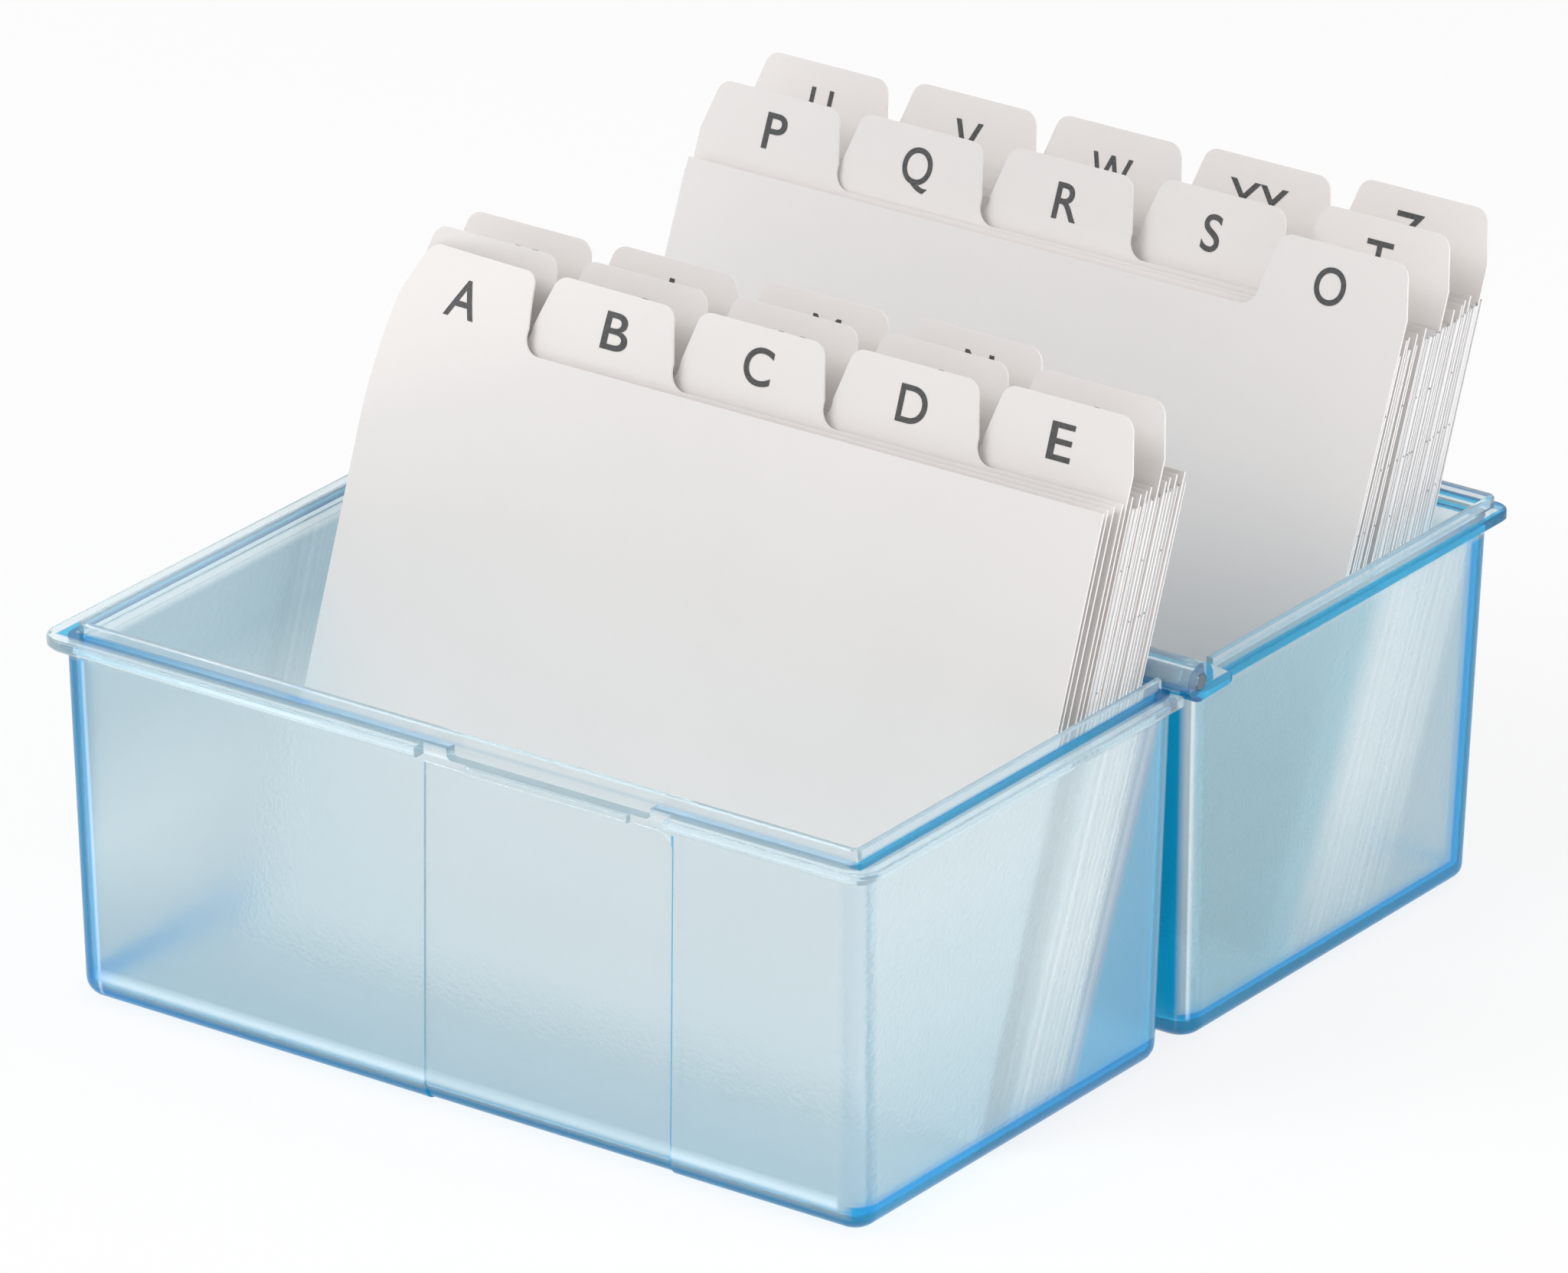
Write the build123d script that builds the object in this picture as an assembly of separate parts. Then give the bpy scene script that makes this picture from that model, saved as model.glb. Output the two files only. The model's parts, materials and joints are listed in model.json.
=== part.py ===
# Index card box for A6 landscape cards: two clear tinted trays, hinged along their
# facing rims and shown laid open flat, each with a leaning run of tabbed A to Z guides
# and record cards. X runs along the card width, Y from the front tray to the rear tray,
# Z up. Everything is drawn with the hinge line over Y = 0 and the trays on Z = 0, and is
# moved along Y at the end so that the whole object is centred over the origin.
import math
import os

from build123d import *

# Record cards and guides, in millimetres.
CARD_WIDTH = 148.0
CARD_HEIGHT = 103.0
CARD_THICK = 0.24
GUIDE_THICK = 0.4
GUIDE_HEIGHT = 105.2
TAB_RISE = 13.3
TAB_STRAIGHT = 4.2
TAB_SLANT = 2.2
TAB_LEFT_R = 2.6
TAB_RIGHT_R = 3.0
TAB_FOOT_R = 3.4
TAB_SPACING = 0.3
TAB_COUNT = 5
SHEET_GAP = 0.03
SEAT_GAP = 0.02

# Trays. Plan sizes are taken at the rim plane.
RIM_Z = 65.9
LIP_HEIGHT = 1.9
HINGE_Z = 67.0
WALL = 2.5
FLOOR = 2.4
SIDE_ROOM = 5.7
HALF_WIDTH = CARD_WIDTH / 2 + SIDE_ROOM + WALL
REACH = 90.7
HINGE_GAP = 1.7
DRAFT_DEG = 1.0
REAR_DRAFT_DEG = 4.0
FRONT_HINGE_DRAFT_DEG = 2.5
REAR_HINGE_DRAFT_DEG = 0.0
CORNER_R = 4.4
BOTTOM_R = 3.4
REAR_BOTTOM_R = 2.4
INNER_CORNER_R = 1.8
INNER_BOTTOM_R = 0.9

# Rim: an outward flange, and lips that nest when the trays meet.
FLANGE_OUT = 2.6
FLANGE_THICK = 2.1
FLANGE_CORNER_R = 4.9
FLANGE_ROUND = 0.5
FLANGE_HINGE_STOP = 4.5
REAR_FLANGE_OUT = 2.0
REAR_FLANGE_CORNER_R = 3.4
LIP_SETBACK = 2.2
LIP_THICK = 1.2
LIP_ROOT = 2.9
LIP_CORNER_R = 1.6
LIP_ROUND = 0.25
LIP_CLEARANCE = 0.5
LIP_EMBED = 0.5
REAR_LIP_THICK = 1.3
REAR_LIP_STOP = 8.0
REAR_LIP_PAST_WALL = 1.1
REAR_LIP_CORNER_R = 1.6
LIP_HINGE_STOP = 4.1
CAVITY_OVER = 3.0
HINGE_LIP_Y = 2.0
HINGE_LIP_THICK = 1.1
HINGE_LIP_SHORT = 1.2

# Catch panel on the front wall, and the snap tongue on the rear wall that meets it.
PANEL_LEFT = -5.7
PANEL_RIGHT = 44.7
PANEL_TOP = 62.4
PANEL_SLANT_DEG = 2.0
PANEL_DEPTH = 0.55
PANEL_CORNER = 3.0
PANEL_RUN_OFF = 10.0
NOTCH_LEFT = -1.0
NOTCH_RIGHT = 40.3
NOTCH_DROP = 2.0
NOTCH_OPEN = 8.0
NOTCH_CORNER = 1.0
BAR_INSET = 4.1
BAR_PROUD = 0.9
BAR_ROUND = 0.35
TONGUE_INSET = 2.3
TONGUE_THICK = 1.1
TONGUE_GAP = 0.4
HOOK_HEIGHT = 1.3
HOOK_REACH = 1.2
HOOK_EDGE = 0.3
HOOK_GAP = 0.3

# Hinge knuckles and pins.
KNUCKLE_R = 3.4
KNUCKLE_RELIEF = 0.35
KNUCKLE_INSET = 20.0
KNUCKLE_LENGTH = 5.0
KNUCKLE_GAP = 0.4
KNUCKLE_ROOT_R = 1.2
KNUCKLE_ROOT_DROP = 6.4
REAR_KNUCKLE_LENGTH = 17.4
REAR_ARM_INSET = 1.2
PIN_R = 1.5
PIN_GRIP = 0.01
PIN_RUNNING = 0.06
PIN_END = 0.15
PIN_BEVEL = 0.3
RELIEF_STEP = 0.05
FRONT_KNUCKLE_START = HALF_WIDTH - KNUCKLE_INSET

# How each run of sheets stands: its shift along the width, the lean of its first and last
# guides, the steps between its guides and the room behind the last guide at the rim.
FRONT_SHIFT = 3.0
FRONT_LEAN_FIRST = 21.0
FRONT_LEAN_LAST = 21.7
FRONT_STEP = 1.675
FRONT_ROOM = 3.15
REAR_SHIFT = -0.3
REAR_DRIFT = -1.6
REAR_LEAN_FIRST = 23.4
REAR_LEAN_LAST = 22.2
REAR_STEPS = [2.35, 1.3, 2.15, 3.0, 5.9, 3.5, 2.6, 2.1, 2.1, 3.4]
REAR_ROOM = 1.85
STRAY = 0.25

# Turns between neighbouring sheets that scatter them sideways.
GUIDE_SCATTER = 1.9
CARD_SCATTER = 2.4
GROUP_SCATTER = 7

# The first five front guides roll back at their upper left corner, round a slanting line.
CURL_FIRST = 8.0
CURL_COUNT = 5
CURL_START = 87.0
CURL_SLOPE_DEG = 23.9
CURL_PAST_TOP = 1.1
CURL_MOST_TURN = 0.95
SAME_PLACE = 0.01

FRONT_GUIDES = ["a", "b", "c", "d", "e", "f", "g", "h", "i", "j", "k", "l", "m", "n"]
FRONT_TABS = [0, 1, 2, 3, 4, 0, 1, 2, 3, 4, 0, 1, 2, 3]
FRONT_FILL = [0, 0, 0, 0, 0, 1, 1, 1, 1, 1, 1, 1, 1, 0.5]
REAR_GUIDES = ["o", "p", "q", "r", "s", "t", "u", "v", "w", "xy", "z"]
REAR_TABS = [4, 0, 1, 2, 3, 4, 0, 1, 2, 3, 4]
REAR_FILL = [0.6, 0.6, 0.6, 0.5, 1, 1, 1, 1, 1, 1, 1]

LIP_TOP = RIM_Z + LIP_HEIGHT
FLANGE_HALF = HALF_WIDTH + FLANGE_OUT
FLANGE_REACH = REACH + FLANGE_OUT


def sloped(distance, degrees):
    """Sideways travel of a line that leans by some degrees over an upright distance."""
    return distance * math.tan(math.radians(degrees))


def tray_block(inset, z_low, z_high, far_draft, hinge_draft, corner, bottom):
    """Block with drafted, rounded walls, inset from the rim outline of the front tray."""
    drop = RIM_Z - z_low
    rise = RIM_Z - z_high
    half = HALF_WIDTH - inset
    outer = REACH - inset
    inner = HINGE_GAP + inset
    ends = Polyline(
        (-half + sloped(drop, DRAFT_DEG), z_low),
        (half - sloped(drop, DRAFT_DEG), z_low),
        (half - sloped(rise, DRAFT_DEG), z_high),
        (-half + sloped(rise, DRAFT_DEG), z_high),
        close=True,
    )
    sides = Polyline(
        (-outer + sloped(drop, far_draft), z_low),
        (-inner - sloped(drop, hinge_draft), z_low),
        (-inner - sloped(rise, hinge_draft), z_high),
        (-outer + sloped(rise, far_draft), z_high),
        close=True,
    )
    block = along_y(make_face(ends), -2 * REACH, 0) & along_x(make_face(sides), -2 * half, 2 * half)
    upright = [e for e in block.edges() if e.bounding_box().size.Z > (z_high - z_low) / 2]
    block = fillet(upright, corner)
    return fillet(block.edges().group_by(Axis.Z)[0], bottom)


def straight_block(half_width, y_low, y_high, z_low, z_high, corner):
    """Rounded block with upright sides."""
    plan = RectangleRounded(2 * half_width, y_high - y_low, corner)
    return extrude(Pos(0, (y_low + y_high) / 2, z_low) * plan, amount=z_high - z_low)


def span_box(x_low, x_high, y_low, y_high, z_low, z_high):
    """Plain box between two corners."""
    box = Box(x_high - x_low, y_high - y_low, z_high - z_low)
    return Pos((x_low + x_high) / 2, (y_low + y_high) / 2, (z_low + z_high) / 2) * box


def along_x(face, x_low, x_high):
    """Extrude a sketch drawn as (y, z) along X between two stations."""
    plane = Plane(origin=(x_low, 0, 0), x_dir=(0, 1, 0), z_dir=(1, 0, 0))
    return extrude(plane * face, amount=x_high - x_low)


def along_y(face, y_low, y_high):
    """Extrude a sketch drawn as (x, z) along Y between two stations."""
    plane = Plane(origin=(0, y_high, 0), x_dir=(1, 0, 0), z_dir=(0, -1, 0))
    return extrude(plane * face, amount=y_high - y_low)


def upright_ring(half_width, y_low, y_high, thick, corner, z_low, z_high):
    """Upright band that follows a rounded rectangle, thick measured inward."""
    outside = straight_block(half_width, y_low, y_high, z_low, z_high, corner)
    inside = straight_block(
        half_width - thick, y_low + thick, y_high - thick, z_low - 1, z_high + 1, corner - thick
    )
    return outside - inside


def knuckle_arm(end_y, end_z, end_r):
    """Hinge knuckle outline: a round eye on the hinge line, drawn out to its root."""
    eye = Pos(0, HINGE_Z) * Circle(KNUCKLE_R)
    root = Pos(end_y, end_z) * Circle(end_r)
    return make_hull(eye.edges() + root.edges())


def hinge_cylinder(radius, x_low, x_high):
    """Cylinder on the hinge line."""
    return along_x(Pos(0, HINGE_Z) * Circle(radius), x_low, x_high)


def both_sides(solid):
    """The solid and its mirror image across the middle of the width."""
    return [solid, mirror(solid, about=Plane.YZ)]


def rim_flange(half_width, corner):
    """Outward flange of the front tray with its lower edges bevelled and its upper ones round."""
    band = straight_block(
        half_width, -FLANGE_REACH, FLANGE_REACH, RIM_Z - FLANGE_THICK, RIM_Z, corner
    )
    band = fillet(band.edges().group_by(Axis.Z)[-1], FLANGE_ROUND)
    band = chamfer(band.edges().group_by(Axis.Z)[0], FLANGE_ROUND)
    return band & span_box(
        -half_width - 1, half_width + 1, -FLANGE_REACH - 1, -FLANGE_HINGE_STOP, 0, RIM_Z + 1
    )


# The front tray lies on the negative side of the hinge; the rear one is drawn there too and
# turned over to the other side, with a steeper far wall.
outer_front = tray_block(0, 0, RIM_Z, DRAFT_DEG, FRONT_HINGE_DRAFT_DEG, CORNER_R, BOTTOM_R)
cavity_front = tray_block(
    WALL,
    FLOOR,
    LIP_TOP + CAVITY_OVER,
    DRAFT_DEG,
    FRONT_HINGE_DRAFT_DEG,
    INNER_CORNER_R,
    INNER_BOTTOM_R,
)
flange_front = rim_flange(FLANGE_HALF, FLANGE_CORNER_R)

# Front tray: knuckles set inboard of the rear tray's, then cavity, lip and catch panel.
front_knuckle_end = FRONT_KNUCKLE_START + KNUCKLE_LENGTH
rear_knuckle_start = front_knuckle_end + KNUCKLE_GAP
rear_knuckle_end = rear_knuckle_start + REAR_KNUCKLE_LENGTH
ROOT_Y = HINGE_GAP + WALL
ROOT_Z = RIM_Z - KNUCKLE_ROOT_DROP
front_arm = along_x(
    knuckle_arm(-ROOT_Y, ROOT_Z, KNUCKLE_ROOT_R), FRONT_KNUCKLE_START, front_knuckle_end
)
front_tray = outer_front + flange_front
for arm in both_sides(front_arm):
    front_tray = front_tray + arm
front_tray = front_tray - cavity_front
sweep_r = KNUCKLE_R + KNUCKLE_RELIEF
front_relief = hinge_cylinder(sweep_r, front_knuckle_end + RELIEF_STEP, FLANGE_HALF + 1)
front_bore = hinge_cylinder(PIN_R + PIN_GRIP, FRONT_KNUCKLE_START - 1, front_knuckle_end + 1)
for cut in both_sides(front_relief) + both_sides(front_bore):
    front_tray = front_tray - cut

lip_half = HALF_WIDTH - LIP_SETBACK
lip_reach = REACH - LIP_SETBACK
lip = upright_ring(
    lip_half, -lip_reach, lip_reach, LIP_THICK, LIP_CORNER_R, RIM_Z - LIP_ROOT, LIP_TOP
)
lip_bottom = lip.faces().sort_by(Axis.Z)[0]
lip = chamfer(lip_bottom.inner_wires()[0].edges(), LIP_THICK - LIP_ROUND)
lip = chamfer(lip.faces().sort_by(Axis.Z)[-1].edges(), LIP_ROUND)
lip = lip & span_box(-lip_half, lip_half, -lip_reach, -LIP_HINGE_STOP, 0, LIP_TOP)
front_tray = front_tray + lip

panel_shift = sloped(PANEL_TOP + PANEL_RUN_OFF, PANEL_SLANT_DEG)
panel_plan = make_face(
    Polyline(
        (PANEL_LEFT, PANEL_TOP),
        (PANEL_RIGHT, PANEL_TOP),
        (PANEL_RIGHT - panel_shift, -PANEL_RUN_OFF),
        (PANEL_LEFT - panel_shift, -PANEL_RUN_OFF),
        close=True,
    )
)
panel_plan = fillet(panel_plan.vertices().group_by(Axis.Y)[-1].sort_by(Axis.X)[-1], PANEL_CORNER)
skin = outer_front - Pos(0, PANEL_DEPTH, 0) * outer_front
front_tray = front_tray - (skin & along_y(panel_plan, -REACH - 1, -REACH + 2 * BOTTOM_R))
front_tray = front_tray - span_box(
    PANEL_LEFT, PANEL_RIGHT, -FLANGE_REACH - 1, -REACH, RIM_Z - FLANGE_THICK - 1, RIM_Z + 1
)
notch_low = RIM_Z - NOTCH_DROP
notch_plan = Pos((NOTCH_LEFT + NOTCH_RIGHT) / 2, notch_low + NOTCH_OPEN / 2) * RectangleRounded(
    NOTCH_RIGHT - NOTCH_LEFT, NOTCH_OPEN, NOTCH_CORNER
)
front_tray = front_tray - along_y(notch_plan, -FLANGE_REACH - 1, -lip_reach)
bar_front = -REACH - BAR_PROUD
bar = span_box(
    NOTCH_LEFT + BAR_INSET,
    NOTCH_RIGHT - BAR_INSET,
    bar_front,
    -REACH + WALL / 2,
    PANEL_TOP,
    notch_low,
)
bar = fillet(bar.faces().sort_by(Axis.Y)[0].edges(), BAR_ROUND)
front_tray = front_tray + bar

# Rear tray: the mirrored outline, an outer lip that goes round the front lip, and the tongue.
rear_block = tray_block(
    0, 0, RIM_Z, REAR_DRAFT_DEG, REAR_HINGE_DRAFT_DEG, CORNER_R, REAR_BOTTOM_R
)
outer_rear = mirror(rear_block, about=Plane.XZ)
rear_hollow = tray_block(
    WALL,
    FLOOR,
    LIP_TOP + CAVITY_OVER,
    REAR_DRAFT_DEG,
    REAR_HINGE_DRAFT_DEG,
    INNER_CORNER_R,
    INNER_BOTTOM_R,
)
cavity_rear = mirror(rear_hollow, about=Plane.XZ)
flange_rear = mirror(
    rim_flange(HALF_WIDTH + REAR_FLANGE_OUT, REAR_FLANGE_CORNER_R), about=Plane.XZ
)
flange_mid_z = RIM_Z - FLANGE_THICK / 2
rear_arm = along_x(
    knuckle_arm(REAR_LIP_STOP, flange_mid_z, FLANGE_THICK / 2),
    HALF_WIDTH - REAR_ARM_INSET,
    rear_knuckle_end,
)
rear_barrel = hinge_cylinder(KNUCKLE_R, rear_knuckle_start, rear_knuckle_end)
rear_tray = outer_rear + flange_rear
for arm in both_sides(rear_arm) + both_sides(rear_barrel):
    rear_tray = rear_tray + arm
rear_tray = rear_tray - cavity_rear
rear_relief = hinge_cylinder(
    sweep_r, FRONT_KNUCKLE_START - KNUCKLE_GAP, rear_knuckle_start - RELIEF_STEP
)
rear_bore = hinge_cylinder(PIN_R + PIN_RUNNING, rear_knuckle_start - 1, rear_knuckle_end + 1)
for cut in both_sides(rear_relief) + both_sides(rear_bore):
    rear_tray = rear_tray - cut

rear_lip_out = lip_half + LIP_CLEARANCE + REAR_LIP_THICK
rear_lip_reach = REACH + REAR_LIP_PAST_WALL
rear_lip = upright_ring(
    rear_lip_out,
    -rear_lip_reach,
    rear_lip_reach,
    REAR_LIP_THICK,
    REAR_LIP_CORNER_R,
    RIM_Z - LIP_EMBED,
    LIP_TOP,
)
rear_lip = chamfer(rear_lip.faces().sort_by(Axis.Z)[-1].edges(), LIP_ROUND)
rear_lip = rear_lip & span_box(
    -rear_lip_out, rear_lip_out, REAR_LIP_STOP, rear_lip_reach, 0, LIP_TOP
)
rear_tray = rear_tray + rear_lip
hinge_lip_half = FRONT_KNUCKLE_START - HINGE_LIP_SHORT
hinge_lip = span_box(
    -hinge_lip_half,
    hinge_lip_half,
    HINGE_LIP_Y,
    HINGE_LIP_Y + HINGE_LIP_THICK,
    RIM_Z - LIP_EMBED,
    LIP_TOP,
)
hinge_lip = chamfer(hinge_lip.faces().sort_by(Axis.Z)[-1].edges(), LIP_ROUND)
rear_tray = rear_tray + hinge_lip

tongue_y = -bar_front + TONGUE_GAP
hook_low = 2 * HINGE_Z - PANEL_TOP + HOOK_GAP
hook_high = hook_low + HOOK_HEIGHT
tongue_outline = make_face(
    Polyline(
        (tongue_y, RIM_Z - FLANGE_THICK / 2),
        (tongue_y, hook_low),
        (tongue_y - HOOK_REACH, hook_low),
        (tongue_y - HOOK_REACH, hook_low + HOOK_EDGE),
        (tongue_y, hook_high),
        (tongue_y + TONGUE_THICK, hook_high),
        (tongue_y + TONGUE_THICK, RIM_Z - FLANGE_THICK / 2),
        close=True,
    )
)
tongue_left = NOTCH_LEFT + BAR_INSET + TONGUE_INSET
tongue_right = NOTCH_RIGHT - BAR_INSET - TONGUE_INSET
rear_tray = rear_tray + along_x(tongue_outline, tongue_left, tongue_right)

# Hinge pins, held in the front knuckles and free to turn in the rear ones.
pin = hinge_cylinder(PIN_R, FRONT_KNUCKLE_START, rear_knuckle_end + PIN_END)
pin = chamfer(pin.faces().sort_by(Axis.X)[-1].edges(), PIN_BEVEL)
pin_right = pin
pin_left = mirror(pin, about=Plane.YZ)


def guide_outline(tab):
    """Guide card outline, foot at zero, with its tab at one of the five places."""
    half = CARD_WIDTH / 2
    pitch = CARD_WIDTH / TAB_COUNT
    top = GUIDE_HEIGHT + TAB_RISE
    left = -half + tab * pitch
    right = left + pitch
    if tab < TAB_COUNT - 1:
        right = right - TAB_SPACING
    sheet = Pos(0, GUIDE_HEIGHT / 2) * Rectangle(CARD_WIDTH, GUIDE_HEIGHT)
    tab_face = make_face(
        Polyline(
            (left, GUIDE_HEIGHT - TAB_STRAIGHT),
            (left, GUIDE_HEIGHT + TAB_STRAIGHT),
            (left + TAB_SLANT, top),
            (right - TAB_SLANT, top),
            (right, GUIDE_HEIGHT + TAB_STRAIGHT),
            (right, GUIDE_HEIGHT - TAB_STRAIGHT),
            close=True,
        )
    )
    top_left = tab_face.vertices().group_by(Axis.Y)[-1].sort_by(Axis.X)[0]
    tab_face = fillet(top_left, TAB_LEFT_R)
    top_right = tab_face.vertices().group_by(Axis.Y)[-1].sort_by(Axis.X)[-1]
    tab_face = fillet(top_right, TAB_RIGHT_R)
    shape = sheet + tab_face
    feet = [
        v
        for v in shape.vertices()
        if abs(v.Y - GUIDE_HEIGHT) < SAME_PLACE
        and abs(abs(v.X) - half) > 1
        and min(abs(v.X - left), abs(v.X - right)) < SAME_PLACE
    ]
    return fillet(feet, TAB_FOOT_R)


def curled_slab(curl):
    """Flat slab that rolls back by the curl at its upper left corner."""
    slope = math.radians(CURL_SLOPE_DEG)
    rolled = (GUIDE_HEIGHT + TAB_RISE - CURL_START) * math.cos(slope)
    radius = (rolled**2 + curl**2) / (2 * curl)
    reach = CARD_WIDTH + GUIDE_HEIGHT
    turn = math.asin(min(CURL_MOST_TURN, CURL_PAST_TOP * rolled / radius))

    def on_roll(r, angle):
        return (r * math.sin(angle), r * math.cos(angle) - radius)

    inside = radius - GUIDE_THICK
    edges = [
        Line((-reach, 0), (0, 0)),
        ThreePointArc((0, 0), on_roll(radius, turn / 2), on_roll(radius, turn)),
        Line(on_roll(radius, turn), on_roll(inside, turn)),
        ThreePointArc(on_roll(inside, turn), on_roll(inside, turn / 2), (0, -GUIDE_THICK)),
        Line((0, -GUIDE_THICK), (-reach, -GUIDE_THICK)),
        Line((-reach, -GUIDE_THICK), (-reach, 0)),
    ]
    roll_plane = Plane(
        origin=(-CARD_WIDTH / 2, 0, CURL_START),
        x_dir=(-math.sin(slope), 0, math.cos(slope)),
        z_dir=(math.cos(slope), 0, math.sin(slope)),
    )
    return extrude(roll_plane * make_face(edges), amount=reach, both=True)


def stand_sheet(solid, foot_y, lean, shift, thick):
    """Lean an upright sheet back about its foot and seat its lower edge on the tray floor."""
    lift = FLOOR + SEAT_GAP + thick * math.sin(math.radians(lean))
    return Pos(shift, foot_y, lift) * (Rot(-lean, 0, 0) * solid)


def upright_guide(tab, curl):
    """Guide card standing upright with its front face on Y = 0."""
    outline = guide_outline(tab)
    if curl > 0:
        prism = along_y(outline, -GUIDE_THICK, 2 * (CURL_FIRST + GUIDE_THICK))
        return (curled_slab(curl) & prism).solid()
    return along_y(outline, 0, GUIDE_THICK)


def card_group(first_y, lean, shift, count, seed):
    """Record cards filed behind a guide, each a little out of line with the next."""
    cards = []
    step = (CARD_THICK + SHEET_GAP) / math.cos(math.radians(lean))
    for k in range(count):
        stray = STRAY * math.sin(CARD_SCATTER * (seed * GROUP_SCATTER + k))
        card = Pos(stray, CARD_THICK / 2, CARD_HEIGHT / 2) * Box(CARD_WIDTH, CARD_THICK, CARD_HEIGHT)
        cards.append(stand_sheet(card, first_y + k * step, lean, shift, CARD_THICK))
    return cards


def filed_run(names, tabs, feet, room, leans, shifts, curls, fill, seed):
    """Guides and cards of one tray as named nodes; each space takes as many cards as fit."""
    nodes = {}
    spaces = [after - before for before, after in zip(feet, feet[1:])] + [room]
    next_leans = leans[1:] + leans[-1:]
    for i, name in enumerate(names):
        lean = math.radians(leans[i])
        guide = upright_guide(tabs[i], curls[i])
        stray = STRAY * math.sin(GUIDE_SCATTER * (i + seed))
        nodes["guide_" + name] = stand_sheet(guide, feet[i], leans[i], shifts[i] + stray, GUIDE_THICK)
        closing = max(0.0, math.sin(lean - math.radians(next_leans[i]))) * GUIDE_HEIGHT
        clear = spaces[i] * math.cos(lean) - closing - GUIDE_THICK - 2 * SHEET_GAP
        count = int(fill[i] * clear / (CARD_THICK + SHEET_GAP))
        behind = feet[i] + (GUIDE_THICK + SHEET_GAP) / math.cos(lean)
        if count > 0:
            cards = card_group(behind, leans[i], shifts[i], count, i + seed)
            nodes["cards_" + name] = Compound(cards)
    return nodes


def even_values(first, last, count):
    """Evenly spaced values from the first to the last."""
    return [first + (last - first) * i / (count - 1) for i in range(count)]


# Each run leans on the top edge of the wall behind it.
front_leans = even_values(FRONT_LEAN_FIRST, FRONT_LEAN_LAST, len(FRONT_GUIDES))
front_rest = -HINGE_GAP - WALL - sloped(RIM_Z - FLOOR, FRONT_LEAN_LAST)
front_last = front_rest - FRONT_ROOM
front_feet = [front_last - FRONT_STEP * k for k in reversed(range(len(FRONT_GUIDES)))]
front_curls = [CURL_FIRST * max(0.0, 1 - i / CURL_COUNT) for i in range(len(FRONT_GUIDES))]
rear_leans = even_values(REAR_LEAN_FIRST, REAR_LEAN_LAST, len(REAR_GUIDES))
rear_rest = REACH - WALL - sloped(RIM_Z - FLOOR, REAR_LEAN_LAST)
rear_last = rear_rest - REAR_ROOM
rear_feet = [rear_last - sum(REAR_STEPS[i:]) for i in range(len(REAR_GUIDES))]
rear_curls = [0.0 for _ in REAR_GUIDES]
front_shifts = [FRONT_SHIFT for _ in FRONT_GUIDES]
rear_shifts = [REAR_SHIFT + REAR_DRIFT * (i / (len(REAR_GUIDES) - 1)) ** 2 for i in range(len(REAR_GUIDES))]

nodes = {
    "front_tray": front_tray,
    "rear_tray": rear_tray,
    "hinge_pin_left": pin_left,
    "hinge_pin_right": pin_right,
}
front_run = filed_run(
    FRONT_GUIDES,
    FRONT_TABS,
    front_feet,
    FRONT_ROOM,
    front_leans,
    front_shifts,
    front_curls,
    FRONT_FILL,
    1,
)
rear_run = filed_run(
    REAR_GUIDES,
    REAR_TABS,
    rear_feet,
    REAR_ROOM,
    rear_leans,
    rear_shifts,
    rear_curls,
    REAR_FILL,
    4,
)
nodes.update(front_run)
nodes.update(rear_run)

y_low = min(shape.bounding_box().min.Y for shape in nodes.values())
y_high = max(shape.bounding_box().max.Y for shape in nodes.values())
frame_shift = -(y_low + y_high) / 2

os.makedirs("parts", exist_ok=True)
for name, shape in nodes.items():
    export_step(Pos(0, frame_shift, 0) * shape, "parts/" + name + ".step")
    print(name, len(shape.solids()), round(shape.volume, 1))
print("hinge line at y", round(frame_shift, 4), "z", HINGE_Z)
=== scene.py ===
# %% [markdown]
# # An index card box, laid open
# Two trays of clear blue plastic, hinged along one edge, lie open side by side. Each holds a
# leaning run of lettered guides with record cards between them. The solids come from a packed
# CAD frame, so this lesson is about looks: a camera, soft light, a plastic that lets light
# through, paper board, and the letters printed on the tabs.

import json
import math

import bmesh
import bpy
from mathutils import Matrix, Vector
from mathutils.bvhtree import BVHTree


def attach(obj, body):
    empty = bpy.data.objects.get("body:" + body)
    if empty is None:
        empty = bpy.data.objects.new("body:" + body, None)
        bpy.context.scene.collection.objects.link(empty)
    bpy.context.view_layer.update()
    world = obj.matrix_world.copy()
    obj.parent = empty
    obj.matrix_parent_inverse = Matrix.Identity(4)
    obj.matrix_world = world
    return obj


MM = 0.001

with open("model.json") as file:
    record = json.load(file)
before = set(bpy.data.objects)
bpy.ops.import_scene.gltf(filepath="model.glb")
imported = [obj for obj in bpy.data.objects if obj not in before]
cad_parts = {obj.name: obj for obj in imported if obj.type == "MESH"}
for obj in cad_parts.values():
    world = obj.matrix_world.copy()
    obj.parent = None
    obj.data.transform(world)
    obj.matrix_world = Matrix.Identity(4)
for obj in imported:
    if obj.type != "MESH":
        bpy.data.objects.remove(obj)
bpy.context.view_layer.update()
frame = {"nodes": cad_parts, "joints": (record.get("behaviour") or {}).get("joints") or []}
nodes = frame["nodes"]
hinge = Vector(frame["joints"][0]["pos_m"])
scene = bpy.context.scene
scene.view_settings.view_transform = "Standard"


def millimetres(*values):
    """Lengths in millimetres, turned into metres."""
    return tuple(value * MM for value in values)


print("nodes:", len(nodes), "hinge at", [round(v, 4) for v in hinge])

# %% [markdown]
# ## Camera
# The picture was taken from far away with a long lens, so edges that are parallel on the box
# stay almost parallel in the frame. A long lens far off gives that. The camera is aimed by its
# compass angle, its height angle and a small tilt, which is easier to adjust than a matrix.

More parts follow.
